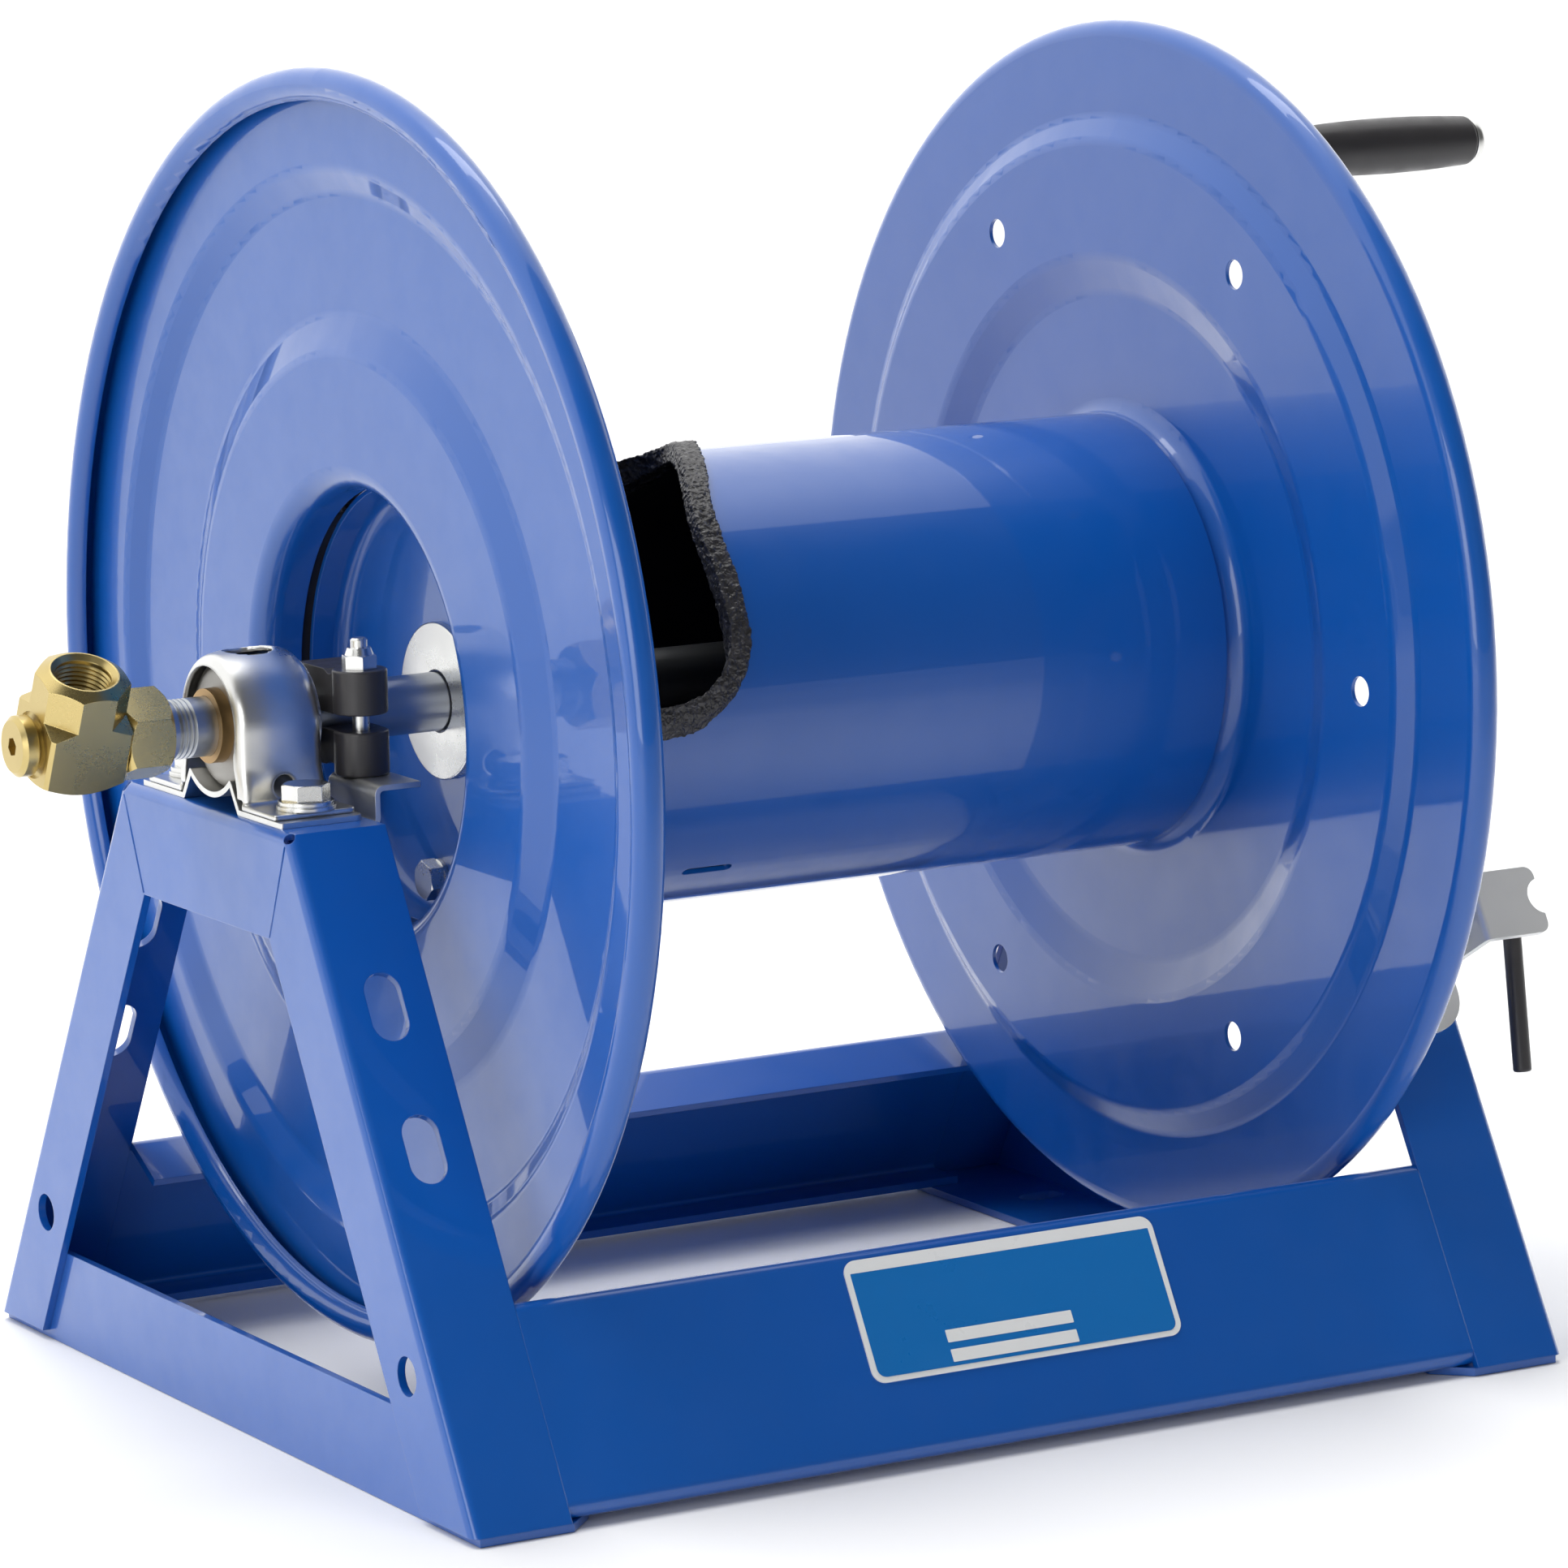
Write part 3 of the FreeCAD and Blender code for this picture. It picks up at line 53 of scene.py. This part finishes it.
# ---- colours, linear ----
BLUE = (0.001, 0.088, 0.400)
PRINT_BLUE = (0.004, 0.150, 0.460)
ZINC = (0.78, 0.78, 0.76)
BRIGHT_ZINC = (0.80, 0.80, 0.78)
PALE_ZINC = (0.90, 0.90, 0.88)
PIPE = (0.50, 0.52, 0.54)
CASTING = (0.36, 0.35, 0.33)
BRONZE = (0.42, 0.27, 0.12)
BRASS = (0.62, 0.49, 0.21)
RUBBER = (0.022, 0.021, 0.022)
PLASTIC = (0.036, 0.034, 0.036)
SHEET_WHITE = (0.80, 0.81, 0.80)
# painted shade: near-black colour for the drum's shaded inner face
PAINTED_INSIDE_SHADE = (0.006, 0.005, 0.008)
FLOOR = (0.90, 0.90, 0.90)
DULL_PATCHES = 0.4             # how far metals go to their dull tone in patches
EDGE_ROUND = 0.5 * MM          # shaded rounding of painted and moulded edges
METAL_EDGE_ROUND = 0.35 * MM
# painted shade: the floor's colour at the front, where less light falls
FLOOR_FRONT_SHADE = (0.42, 0.42, 0.42)

# ---- label ----
LABEL_EDGE = 2.2 * MM          # white border round the blue print
LABEL_PROUD = 0.12 * MM        # how far the print stands off the plate
LABEL_FACE = 0.3 * MM          # from the plate's middle to its face
PANEL_CORNER = 3.4 * MM
FIELD_CORNER = 0.3 * MM
CORNER_STEPS = 8
FIELD_LEFT = 0.24              # left end of the fields, as a share of the label's width
FIELD_TOP = 0.36               # top of the first field below the middle, as a share of half the height
FIELD_W = 52.0 * MM            # the two blank fields
FIELD_H = 4.6 * MM
FIELD_GAP = 2.6 * MM

# ---- port thread ----
THREAD_PITCH = 1.8 * MM
THREAD_DEPTH = 0.75 * MM
THREAD_STEPS = 72              # points in one turn
THREAD_RUN_OUT = 20            # points over which an end of the ridge grows from nothing
THREAD_HALF_FOOT = 0.48        # half the ridge's foot, as a share of the pitch
THREAD_SUNK = 0.05 * MM        # the ridge's foot lies this deep in the bore's wall

# ---- rubber trim ----
TRIM_VOXEL = 0.7 * MM
TRIM_CRINKLE = 1.1 * MM
TRIM_CRINKLE_SIZE = 2.2 * MM
TRIM_LEVEL = 0.75              # the skin lies mostly inside the CAD solid

# ---- bearing caps ----
CAP_VOXEL = 0.6 * MM
CAP_NARROW = 2.6 * MM          # how much the dome's radius shrinks at its ends
CAP_FOOT = 5.0 * MM            # height over the seat where the dome starts to change
CAP_BLEND = 9.0 * MM
CAP_MOUTH_R = 21.3 * MM        # the mouth's rim keeps its size
CAP_WALL = 2.8 * MM

# ---- drum ----
AXIS_Z = 254 * MM
DRUM_INSIDE_R = 80.6 * MM      # the sheet's inner face lies within this radius

# ---- seams of the bent stands: from each seat corner to the opening's corner ----
SEAM_FROM = (225.0 * MM, 65.6 * MM, 220.6 * MM)
SEAM_TO = (225.0 * MM, 51.3 * MM, 186.6 * MM)
SEAM_R = 0.35 * MM
SEAM_SIDES = 8

# ---- floor and studio ----
FLOOR_HALF = 20.0
FLOOR_GAP = 0.2 * MM
FLOOR_SHADE_FADE = (-1.40, -0.42)    # painted shade: towards the front the floor darkens between these Y, where less light falls
SKY_EDGE = (-0.09, -0.07)      # the dim front half of the studio ends at this slope from the vertical
SKY_FRONT = 0.10
SKY_BACK = 1.35
# place, aim, width, height and power of each soft box
OVERHEAD = ((0.1, 0.55, 2.2), (0, 0.1, 0.2), 1.6, 0.4, 9)
LEFT_FRONT = ((-2.6, -1.7, 0.9), (0, 0, 0.25), 1.5, 1.5, 26)
FRONT_FILL = ((0.6, -3.2, 1.2), (0, 0, 0.1), 1.4, 1.2, 12)
SUN_POWER = 1.6
SUN_SPREAD = math.radians(60)
SUN_TILT = (math.radians(-14), math.radians(-10), 0)

# ---- camera ----
CAMERA_AT = (-1.30724, -2.29609, 0.66809)
CAMERA_AZIMUTH = math.radians(-30.03)
CAMERA_ELEVATION = math.radians(9.81)
CAMERA_ROLL = math.radians(-1.045)
CAMERA_LENS = 167.1
CAMERA_SHIFT = (-0.012, -0.002)


# ---- material helpers ----
class Material:
    """A Principled material with short calls for its nodes."""

    def __init__(self, name, colour, metallic=0.0, roughness=0.4, coat=0.0, coat_roughness=0.05):
        self.material = bpy.data.materials.new(name)
        self.material.use_nodes = True
        self.tree = self.material.node_tree
        self.shader = self.tree.nodes["Principled BSDF"]
        self.shader.inputs["Base Color"].default_value = (*colour, 1)
        self.shader.inputs["Metallic"].default_value = metallic
        self.shader.inputs["Roughness"].default_value = roughness
        self.shader.inputs["Coat Weight"].default_value = coat
        self.shader.inputs["Coat Roughness"].default_value = coat_roughness
        self.place = self.tree.nodes.new("ShaderNodeTexCoord").outputs["Object"]
        self.height = None

    def node(self, kind, **values):
        made = self.tree.nodes.new(kind)
        for key, value in values.items():
            setattr(made, key, value)
        return made

    def link(self, source, target):
        self.tree.links.new(source, target)

    def stretched(self, scale):
        """Object coordinates, scaled on each axis."""
        mapping = self.node("ShaderNodeMapping")
        mapping.inputs["Scale"].default_value = scale
        self.link(self.place, mapping.inputs["Vector"])
        return mapping.outputs["Vector"]

    def noise(self, scale, detail=3.0, vector=None):
        """Fractal noise; the scale is in cells to the metre."""
        made = self.node("ShaderNodeTexNoise")
        made.inputs["Scale"].default_value = scale
        made.inputs["Detail"].default_value = detail
        made.inputs["Roughness"].default_value = 0.5
        self.link(vector or self.place, made.inputs["Vector"])
        return made.outputs["Fac"]

    def spread(self, value, low, high, out_low, out_high):
        """Maps low..high to out_low..out_high, clamped."""
        made = self.node("ShaderNodeMapRange")
        made.inputs["From Min"].default_value = low
        made.inputs["From Max"].default_value = high
        made.inputs["To Min"].default_value = out_low
        made.inputs["To Max"].default_value = out_high
        self.link(value, made.inputs["Value"])
        return made.outputs["Result"]

    def add(self, a, b, operation="ADD"):
        made = self.node("ShaderNodeMath", operation=operation)
        for value, socket in ((a, made.inputs[0]), (b, made.inputs[1])):
            if isinstance(value, (int, float)):
                socket.default_value = value
            else:
                self.link(value, socket)
        return made.outputs[0]

    def blend(self, factor, first, second):
        made = self.node("ShaderNodeMix", data_type="RGBA")
        for value, socket in ((factor, made.inputs[0]), (first, made.inputs[6]), (second, made.inputs[7])):
            if isinstance(value, tuple):
                socket.default_value = (*value, 1)
            else:
                self.link(value, socket)
        return made.outputs[2]

    def colour(self, value):
        self.link(value, self.shader.inputs["Base Color"])

    def roughness(self, value, socket="Roughness"):
        self.link(value, self.shader.inputs[socket])

    def bump(self, value, distance, strength=1.0, socket="Normal"):
        made = self.node("ShaderNodeBump")
        made.inputs["Strength"].default_value = strength
        made.inputs["Distance"].default_value = distance
        self.link(value, made.inputs["Height"])
        if self.height:
            self.link(self.height, made.inputs["Normal"])
        self.height = made.outputs["Normal"]
        self.link(self.height, self.shader.inputs[socket])

    def soft_edges(self, radius):
        """Rounds the shading of sharp edges; bumps called later lie on top of it."""
        made = self.node("ShaderNodeBevel", samples=4)
        made.inputs["Radius"].default_value = radius
        self.height = made.outputs["Normal"]
        self.link(self.height, self.shader.inputs["Normal"])


# ---- materials ----
def powder_coat():
    """Gloss blue over steel: a clear deep gloss with faint orange peel and uneven patches."""
    m = Material("blue_powder_coat", BLUE, roughness=0.34, coat=1.0)
    m.shader.inputs["Coat IOR"].default_value = 1.4
    m.soft_edges(EDGE_ROUND)
    m.bump(m.noise(150, detail=2.0), 0.02 * MM, 0.35)
    m.bump(m.noise(28, detail=1.0), 0.12 * MM, 0.35)
    m.link(m.height, m.shader.inputs["Coat Normal"])
    m.roughness(m.spread(m.noise(9, detail=4.0), 0.3, 0.7, 0.012, 0.035), "Coat Roughness")
    m.roughness(m.spread(m.noise(60, detail=5.0), 0.3, 0.7, 0.30, 0.42))
    deep = tuple(0.94 * c for c in BLUE)
    m.colour(m.blend(m.spread(m.noise(5), 0.35, 0.65, 0.0, 1.0), BLUE, deep))
    return m.material


def painted_shade_inside():
    """The drum's inner face, coloured near-black as painted shade for the dark inside the drum."""
    m = Material("painted_shade_inside", PAINTED_INSIDE_SHADE, roughness=0.6)
    m.roughness(m.spread(m.noise(50, detail=4.0), 0.3, 0.7, 0.5, 0.75))
    m.bump(m.noise(200, detail=3.0), 0.03 * MM, 0.4)
    return m.material


def metal(name, colour, low, high, grain=(1, 1, 1), metallic=1.0):
    """Bare or plated metal: uneven gloss between two roughnesses, fine grain and shallow dents."""
    m = Material(name, colour, metallic=metallic)
    m.soft_edges(METAL_EDGE_ROUND)
    patches = m.noise(30, detail=4.0)
    fine = m.noise(900, detail=2.0, vector=m.stretched(grain))
    mixed = m.add(m.spread(patches, 0.3, 0.7, low, high), m.spread(fine, 0.3, 0.7, -0.01, 0.02))
    m.roughness(mixed)
    dull = tuple(c * 0.80 for c in colour)
    m.colour(m.blend(m.spread(m.noise(30, detail=3.0), 0.40, 0.75, 0.0, DULL_PATCHES), colour, dull))
    m.bump(fine, 0.01 * MM, 0.15)
    m.bump(m.noise(70, detail=1.0), 0.03 * MM, 0.2)
    return m.material


def crinkled_rubber():
    """Moulded rubber edging with a glossy leather grain."""
    m = Material("crinkled_rubber", RUBBER, roughness=0.35)
    warp = m.node("ShaderNodeVectorMath", operation="MULTIPLY_ADD")
    swirl = m.node("ShaderNodeTexNoise")
    swirl.inputs["Scale"].default_value = 260
    m.link(m.place, swirl.inputs["Vector"])
    m.link(swirl.outputs["Color"], warp.inputs[0])
    warp.inputs[1].default_value = (0.004, 0.004, 0.004)
    m.link(m.place, warp.inputs[2])
    cells = m.node("ShaderNodeTexVoronoi")
    cells.inputs["Scale"].default_value = 620
    m.link(warp.outputs["Vector"], cells.inputs["Vector"])
    m.roughness(m.spread(m.noise(500), 0.3, 0.7, 0.26, 0.44))
    m.bump(cells.outputs["Distance"], 0.55 * MM, 1.0)
    m.colour(m.blend(m.spread(m.noise(300), 0.4, 0.7, 0.0, 1.0), RUBBER, tuple(2.6 * c for c in RUBBER)))
    return m.material


def black_moulding():
    """Moulded black plastic with a fine texture."""
    m = Material("black_moulding", PLASTIC, roughness=0.36)
    m.soft_edges(EDGE_ROUND)
    m.roughness(m.spread(m.noise(130, detail=5.0), 0.3, 0.7, 0.28, 0.46))
    m.bump(m.noise(1400, detail=1.0), 0.03 * MM, 0.5)
    m.bump(m.noise(60, detail=3.0), 0.12 * MM, 0.4)
    return m.material


def printed_sheet(name, colour):
    """Printed film under a clear coat."""
    m = Material(name, colour, roughness=0.32, coat=0.4, coat_roughness=0.12)
    m.roughness(m.spread(m.noise(80, detail=4.0), 0.3, 0.7, 0.26, 0.40))
    m.bump(m.noise(420, detail=2.0), 0.01 * MM, 0.5)
    return m.material


def pale_floor():
    """White near the reel and behind it, with painted shade darkening it towards the front; the reel's front
    faces reflect that shade.
    """
    m = Material("pale_floor", FLOOR, roughness=0.8)
    split = m.node("ShaderNodeSeparateXYZ")
    m.link(m.place, split.inputs[0])
    # painted shade: the floor's colour fades to the darker front tone along Y
    m.colour(m.blend(m.spread(split.outputs["Y"], *FLOOR_SHADE_FADE, 0.0, 1.0), FLOOR_FRONT_SHADE, FLOOR))
    m.bump(m.noise(60, detail=3.0), 0.1 * MM, 0.2)
    return m.material


FINISHES = {
    "blue_coat": powder_coat(),
    "label": printed_sheet("label_white", SHEET_WHITE),
    "zinc_pressing": metal("zinc_pressing", ZINC, 0.24, 0.40),
    "cast_insert": metal("cast_insert", CASTING, 0.30, 0.45),
    "bronze": metal("bronze", BRONZE, 0.28, 0.42),
    "zinc_hardware": metal("zinc_hardware", BRIGHT_ZINC, 0.20, 0.34),
    "pipe_steel": metal("pipe_steel", PIPE, 0.26, 0.38, grain=(0.05, 1, 1)),
    "brass": metal("brass", BRASS, 0.22, 0.34),
    "black_rubber": crinkled_rubber(),
    "black_plastic": black_moulding(),
}


def dress_nodes():
    """Gives every CAD node the finish of its slot, and the drum's inner face its painted near-black shade."""
    for part in frame["record"]["subparts"]:
        mesh = NODES[part["node"]].data
        mesh.materials.clear()
        mesh.materials.append(FINISHES[part["material_slot"]])
    sheet = NODES["lock_bracket"].data
    sheet.materials[0] = metal("zinc_sheet", PALE_ZINC, 0.42, 0.55, metallic=0.55)
    # painted shade: faces inside this radius get the near-black shade material
    drum = NODES["drum_shell"].data
    drum.materials.append(painted_shade_inside())
    for face in drum.polygons:
        middle = face.center
        if math.hypot(middle.y, middle.z - AXIS_Z) < DRUM_INSIDE_R:
            face.material_index = 1


# ---- mesh helpers ----
def mesh_object(name, points, faces, material, smooth=True):
    """A new object from points and faces, linked into the scene."""
    mesh = bpy.data.meshes.new(name)
    mesh.from_pydata([tuple(p) for p in points], [], faces)
    mesh.update()
    made = bpy.data.objects.new(name, mesh)
    bpy.context.scene.collection.objects.link(made)
    mesh.materials.append(material)
    if smooth:
        mesh.shade_smooth()
    return made


# ---- fine pieces ----
def label_print():
    """The blank print on the name plate: a blue panel and two pale fields."""
    low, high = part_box("name_plate")
    up = Vector((0, high.y - low.y, high.z - low.z)).normalized()
    across = Vector((1, 0, 0))
    out = across.cross(up).normalized()
    if out.y > 0:
        out = -out
    centre = (low + high) / 2 + out * LABEL_FACE
    width = high.x - low.x
    height = math.hypot(high.y - low.y, high.z - low.z)

    def plate(name, x0, x1, y0, y1, corner, lift, material):
        """A rounded thin plate on the label, in label coordinates from its centre."""
        outline = []
        centres = ((x1 - corner, y1 - corner, 0), (x0 + corner, y1 - corner, 90),
                   (x0 + corner, y0 + corner, 180), (x1 - corner, y0 + corner, 270))
        for cx, cy, start in centres:
            for step in range(CORNER_STEPS + 1):
                a = math.radians(start + step * 90 / CORNER_STEPS)
                outline.append((cx + corner * math.cos(a), cy + corner * math.sin(a)))
        count = len(outline)
        points = [centre + across * x + up * y + out * (lift - LABEL_PROUD) for x, y in outline]
        points += [centre + across * x + up * y + out * lift for x, y in outline]
        faces = [tuple(reversed(range(count))), tuple(range(count, 2 * count))]
        faces += [(i, (i + 1) % count, count + (i + 1) % count, count + i) for i in range(count)]
        made = mesh_object(name, points, faces, material, smooth=False)
        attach(made, "frame")

    half_w, half_h = width / 2 - LABEL_EDGE, height / 2 - LABEL_EDGE
    blue = printed_sheet("label_blue", PRINT_BLUE)
    plate("label_panel", -half_w, half_w, -half_h, half_h, PANEL_CORNER, LABEL_PROUD, blue)
    left = -half_w + width * FIELD_LEFT
    for i in range(2):
        top = -half_h * FIELD_TOP - i * (FIELD_H + FIELD_GAP)
        plate(f"label_field_{i + 1}", left, left + FIELD_W, top - FIELD_H, top, FIELD_CORNER, 2 * LABEL_PROUD,
              FINISHES["label"])


def port_thread():
    """The pipe thread inside the swivel's port, as one helical ridge."""
    port = next(m for m in frame["record"]["mounts"] if m["name"] == "inlet_port")
    middle, axis = Vector(port["pos_m"]), Vector(port["axis"])
    side = axis.orthogonal().normalized()
    other = axis.cross(side)
    radius = port["dims"]["r_mm"] * MM + THREAD_SUNK
    half = port["dims"]["length_mm"] * MM / 2
    bottom, top = THREAD_PITCH / 2 - half, half - THREAD_PITCH / 4
    steps = int((top - bottom) / THREAD_PITCH * THREAD_STEPS)
    points = []
    for i in range(steps + 1):
        angle = 2 * math.pi * i / THREAD_STEPS
        outward = side * math.cos(angle) + other * math.sin(angle)
        along = bottom + THREAD_PITCH * i / THREAD_STEPS
        fade = min(1.0, i / THREAD_RUN_OUT, (steps - i) / THREAD_RUN_OUT)
        ridge = ((radius, -THREAD_HALF_FOOT), (radius - THREAD_DEPTH * fade, 0.0), (radius, THREAD_HALF_FOOT))
        for r, lift in ridge:
            points.append(middle + outward * r + axis * (along + lift * THREAD_PITCH))
    faces = []
    for i in range(steps):
        for k in range(3):
            a, b = 3 * i + k, 3 * i + (k + 1) % 3
            faces.append((a, a + 3, b + 3, b))
    faces += [(0, 1, 2), (3 * steps + 2, 3 * steps + 1, 3 * steps)]
    made = mesh_object("port_thread", points, faces, FINISHES["brass"], smooth=False)
    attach(made, "swivel")


def stand_seams():
    """The thin closed seams where each stand's face meets its legs."""
    for end, x_sign in (("near", -1), ("far", 1)):
        for edge, y_sign in (("front", -1), ("back", 1)):
            sign = Vector((x_sign, y_sign, 1))
            start, stop = Vector(SEAM_FROM) * sign, Vector(SEAM_TO) * sign
            line = (stop - start).normalized()
            across = line.cross(Vector((x_sign, 0, 0)))
            points = []
            for middle in (start, stop):
                for k in range(SEAM_SIDES):
                    a = 2 * math.pi * k / SEAM_SIDES
                    points.append(middle + (across * math.cos(a) + Vector((1, 0, 0)) * math.sin(a)) * SEAM_R)
            faces = [tuple(range(SEAM_SIDES)), tuple(range(2 * SEAM_SIDES - 1, SEAM_SIDES - 1, -1))]
            for k in range(SEAM_SIDES):
                after = (k + 1) % SEAM_SIDES
                faces.append((k, SEAM_SIDES + k, SEAM_SIDES + after, after))
            made = mesh_object(f"{end}_{edge}_seam", points, faces, FINISHES["blue_coat"])
            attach(made, "frame")


def voxel_copy(name, node, voxel, rounds):
    """A copy of a CAD node with an even mesh and softened edges, its modifiers still open."""
    made = bpy.data.objects.new(name, NODES[node].data.copy())
    bpy.context.scene.collection.objects.link(made)
    remesh = made.modifiers.new("remesh", "REMESH")
    remesh.mode = "VOXEL"
    remesh.voxel_size = voxel
    smooth = made.modifiers.new("smooth", "SMOOTH")
    smooth.factor = 0.5
    smooth.iterations = rounds
    return made


def apply_modifiers(made, material):
    """Makes the modifiers' result the object's own mesh."""
    evaluated = made.evaluated_get(bpy.context.evaluated_depsgraph_get())
    skin = bpy.data.meshes.new_from_object(evaluated)
    made.modifiers.clear()
    made.data = skin
    skin.shade_smooth()
    skin.materials.clear()
    skin.materials.append(material)


def rubber_trim():
    """The slot's edging with rounded lips and a crinkled skin, made from the CAD solid."""
    made = voxel_copy("slot_trim_skin", "slot_trim", TRIM_VOXEL, 6)
    crinkle = bpy.data.textures.new("crinkle", "VORONOI")
    crinkle.noise_scale = TRIM_CRINKLE_SIZE
    bumps = made.modifiers.new("crinkle", "DISPLACE")
    bumps.texture = crinkle
    bumps.texture_coords = "LOCAL"
    bumps.mid_level = TRIM_LEVEL
    bumps.strength = TRIM_CRINKLE
    apply_modifiers(made, FINISHES["black_rubber"])
    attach(made, "drum")
    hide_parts("slot_trim")


def eased(value, start, length):
    """0 before the start, 1 after the length, smooth between."""
    t = min(1.0, max(0.0, (value - start) / length))
    return t * t * (3 - 2 * t)


def domed_caps():
    """The bearing caps as pressed: the dome narrows smoothly towards both of its ends."""
    for end in ("near", "far"):
        node = f"{end}_bearing_cap"
        made = voxel_copy(f"{node}_dome", node, CAP_VOXEL, 3)
        apply_modifiers(made, FINISHES["zinc_pressing"])
        low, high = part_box(node)
        centre, half = (low.x + high.x) / 2, (high.x - low.x) / 2
        for vertex in made.data.vertices:
            x, y, z = vertex.co
            radius = math.hypot(y, z - AXIS_Z)
            along = (x - centre) / half
            above = eased(z, low.z + CAP_FOOT, CAP_BLEND)
            shrink = CAP_NARROW * along * along * above * eased(radius, CAP_MOUTH_R, CAP_WALL) / radius
            vertex.co = (x, y * (1 - shrink), AXIS_Z + (z - AXIS_Z) * (1 - shrink))
        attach(made, "frame")
        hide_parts(node)


# ---- floor, light and camera ----
def floor():
    """A wide plain floor, just under the feet."""
    half = FLOOR_HALF
    points = [(-half, -half, 0), (half, -half, 0), (half, half, 0), (-half, half, 0)]
    made = mesh_object("floor", points, [(0, 1, 2, 3)], pale_floor(), smooth=False)
    made.location.z = -FLOOR_GAP


def studio():
    """A bright white studio behind and above, a dim room in front, and soft lights."""
    world = bpy.data.worlds.new("studio")
    bpy.context.scene.world = world
    world.use_nodes = True
    tree = world.node_tree
    background = tree.nodes["Background"]
    place = tree.nodes.new("ShaderNodeTexCoord").outputs["Generated"]
    split = tree.nodes.new("ShaderNodeSeparateXYZ")
    tree.links.new(place, split.inputs[0])
    ramp = tree.nodes.new("ShaderNodeMapRange")
    ramp.interpolation_type = "SMOOTHSTEP"
    ramp.inputs["From Min"].default_value = SKY_EDGE[0]
    ramp.inputs["From Max"].default_value = SKY_EDGE[1]
    ramp.inputs["To Min"].default_value = SKY_FRONT
    ramp.inputs["To Max"].default_value = SKY_BACK
    tree.links.new(split.outputs["Y"], ramp.inputs["Value"])
    tree.links.new(ramp.outputs["Result"], background.inputs["Strength"])
    background.inputs["Color"].default_value = (1, 1, 1, 1)
    soft_box("overhead", *OVERHEAD)
    soft_box("left_front", *LEFT_FRONT)
    fill = soft_box("front_fill", *FRONT_FILL)
    fill.visible_glossy = False
    data = bpy.data.lights.new("top_fill", "SUN")
    data.energy = SUN_POWER
    data.angle = SUN_SPREAD
    top = bpy.data.objects.new("top_fill", data)
    top.rotation_euler = SUN_TILT
    top.visible_glossy = False
    bpy.context.scene.collection.objects.link(top)


def soft_box(name, at, towards, width, height, power):
    """A rectangular area light."""
    data = bpy.data.lights.new(name, "AREA")
    data.shape = "RECTANGLE"
    data.size = width
    data.size_y = height
    data.energy = power
    light = bpy.data.objects.new(name, data)
    light.location = at
    light.rotation_euler = (Vector(towards) - Vector(at)).to_track_quat("-Z", "Y").to_euler()
    bpy.context.scene.collection.objects.link(light)
    return light


def camera():
    """The camera at the photograph's viewing angle."""
    data = bpy.data.cameras.new("camera")
    data.lens = CAMERA_LENS
    data.shift_x, data.shift_y = CAMERA_SHIFT
    made = bpy.data.objects.new("camera", data)
    bpy.context.scene.collection.objects.link(made)
    made.location = CAMERA_AT
    back = Vector((math.sin(CAMERA_AZIMUTH) * math.cos(CAMERA_ELEVATION),
                   -math.cos(CAMERA_AZIMUTH) * math.cos(CAMERA_ELEVATION), math.sin(CAMERA_ELEVATION)))
    made.rotation_mode = "QUATERNION"
    made.rotation_quaternion = back.to_track_quat("Z", "Y") @ Quaternion((0, 0, 1), CAMERA_ROLL)
    bpy.context.scene.camera = made


dress_nodes()
label_print()
port_thread()
stand_seams()
rubber_trim()
domed_caps()
floor()
studio()
camera()
bpy.context.scene.view_settings.view_transform = "Standard"
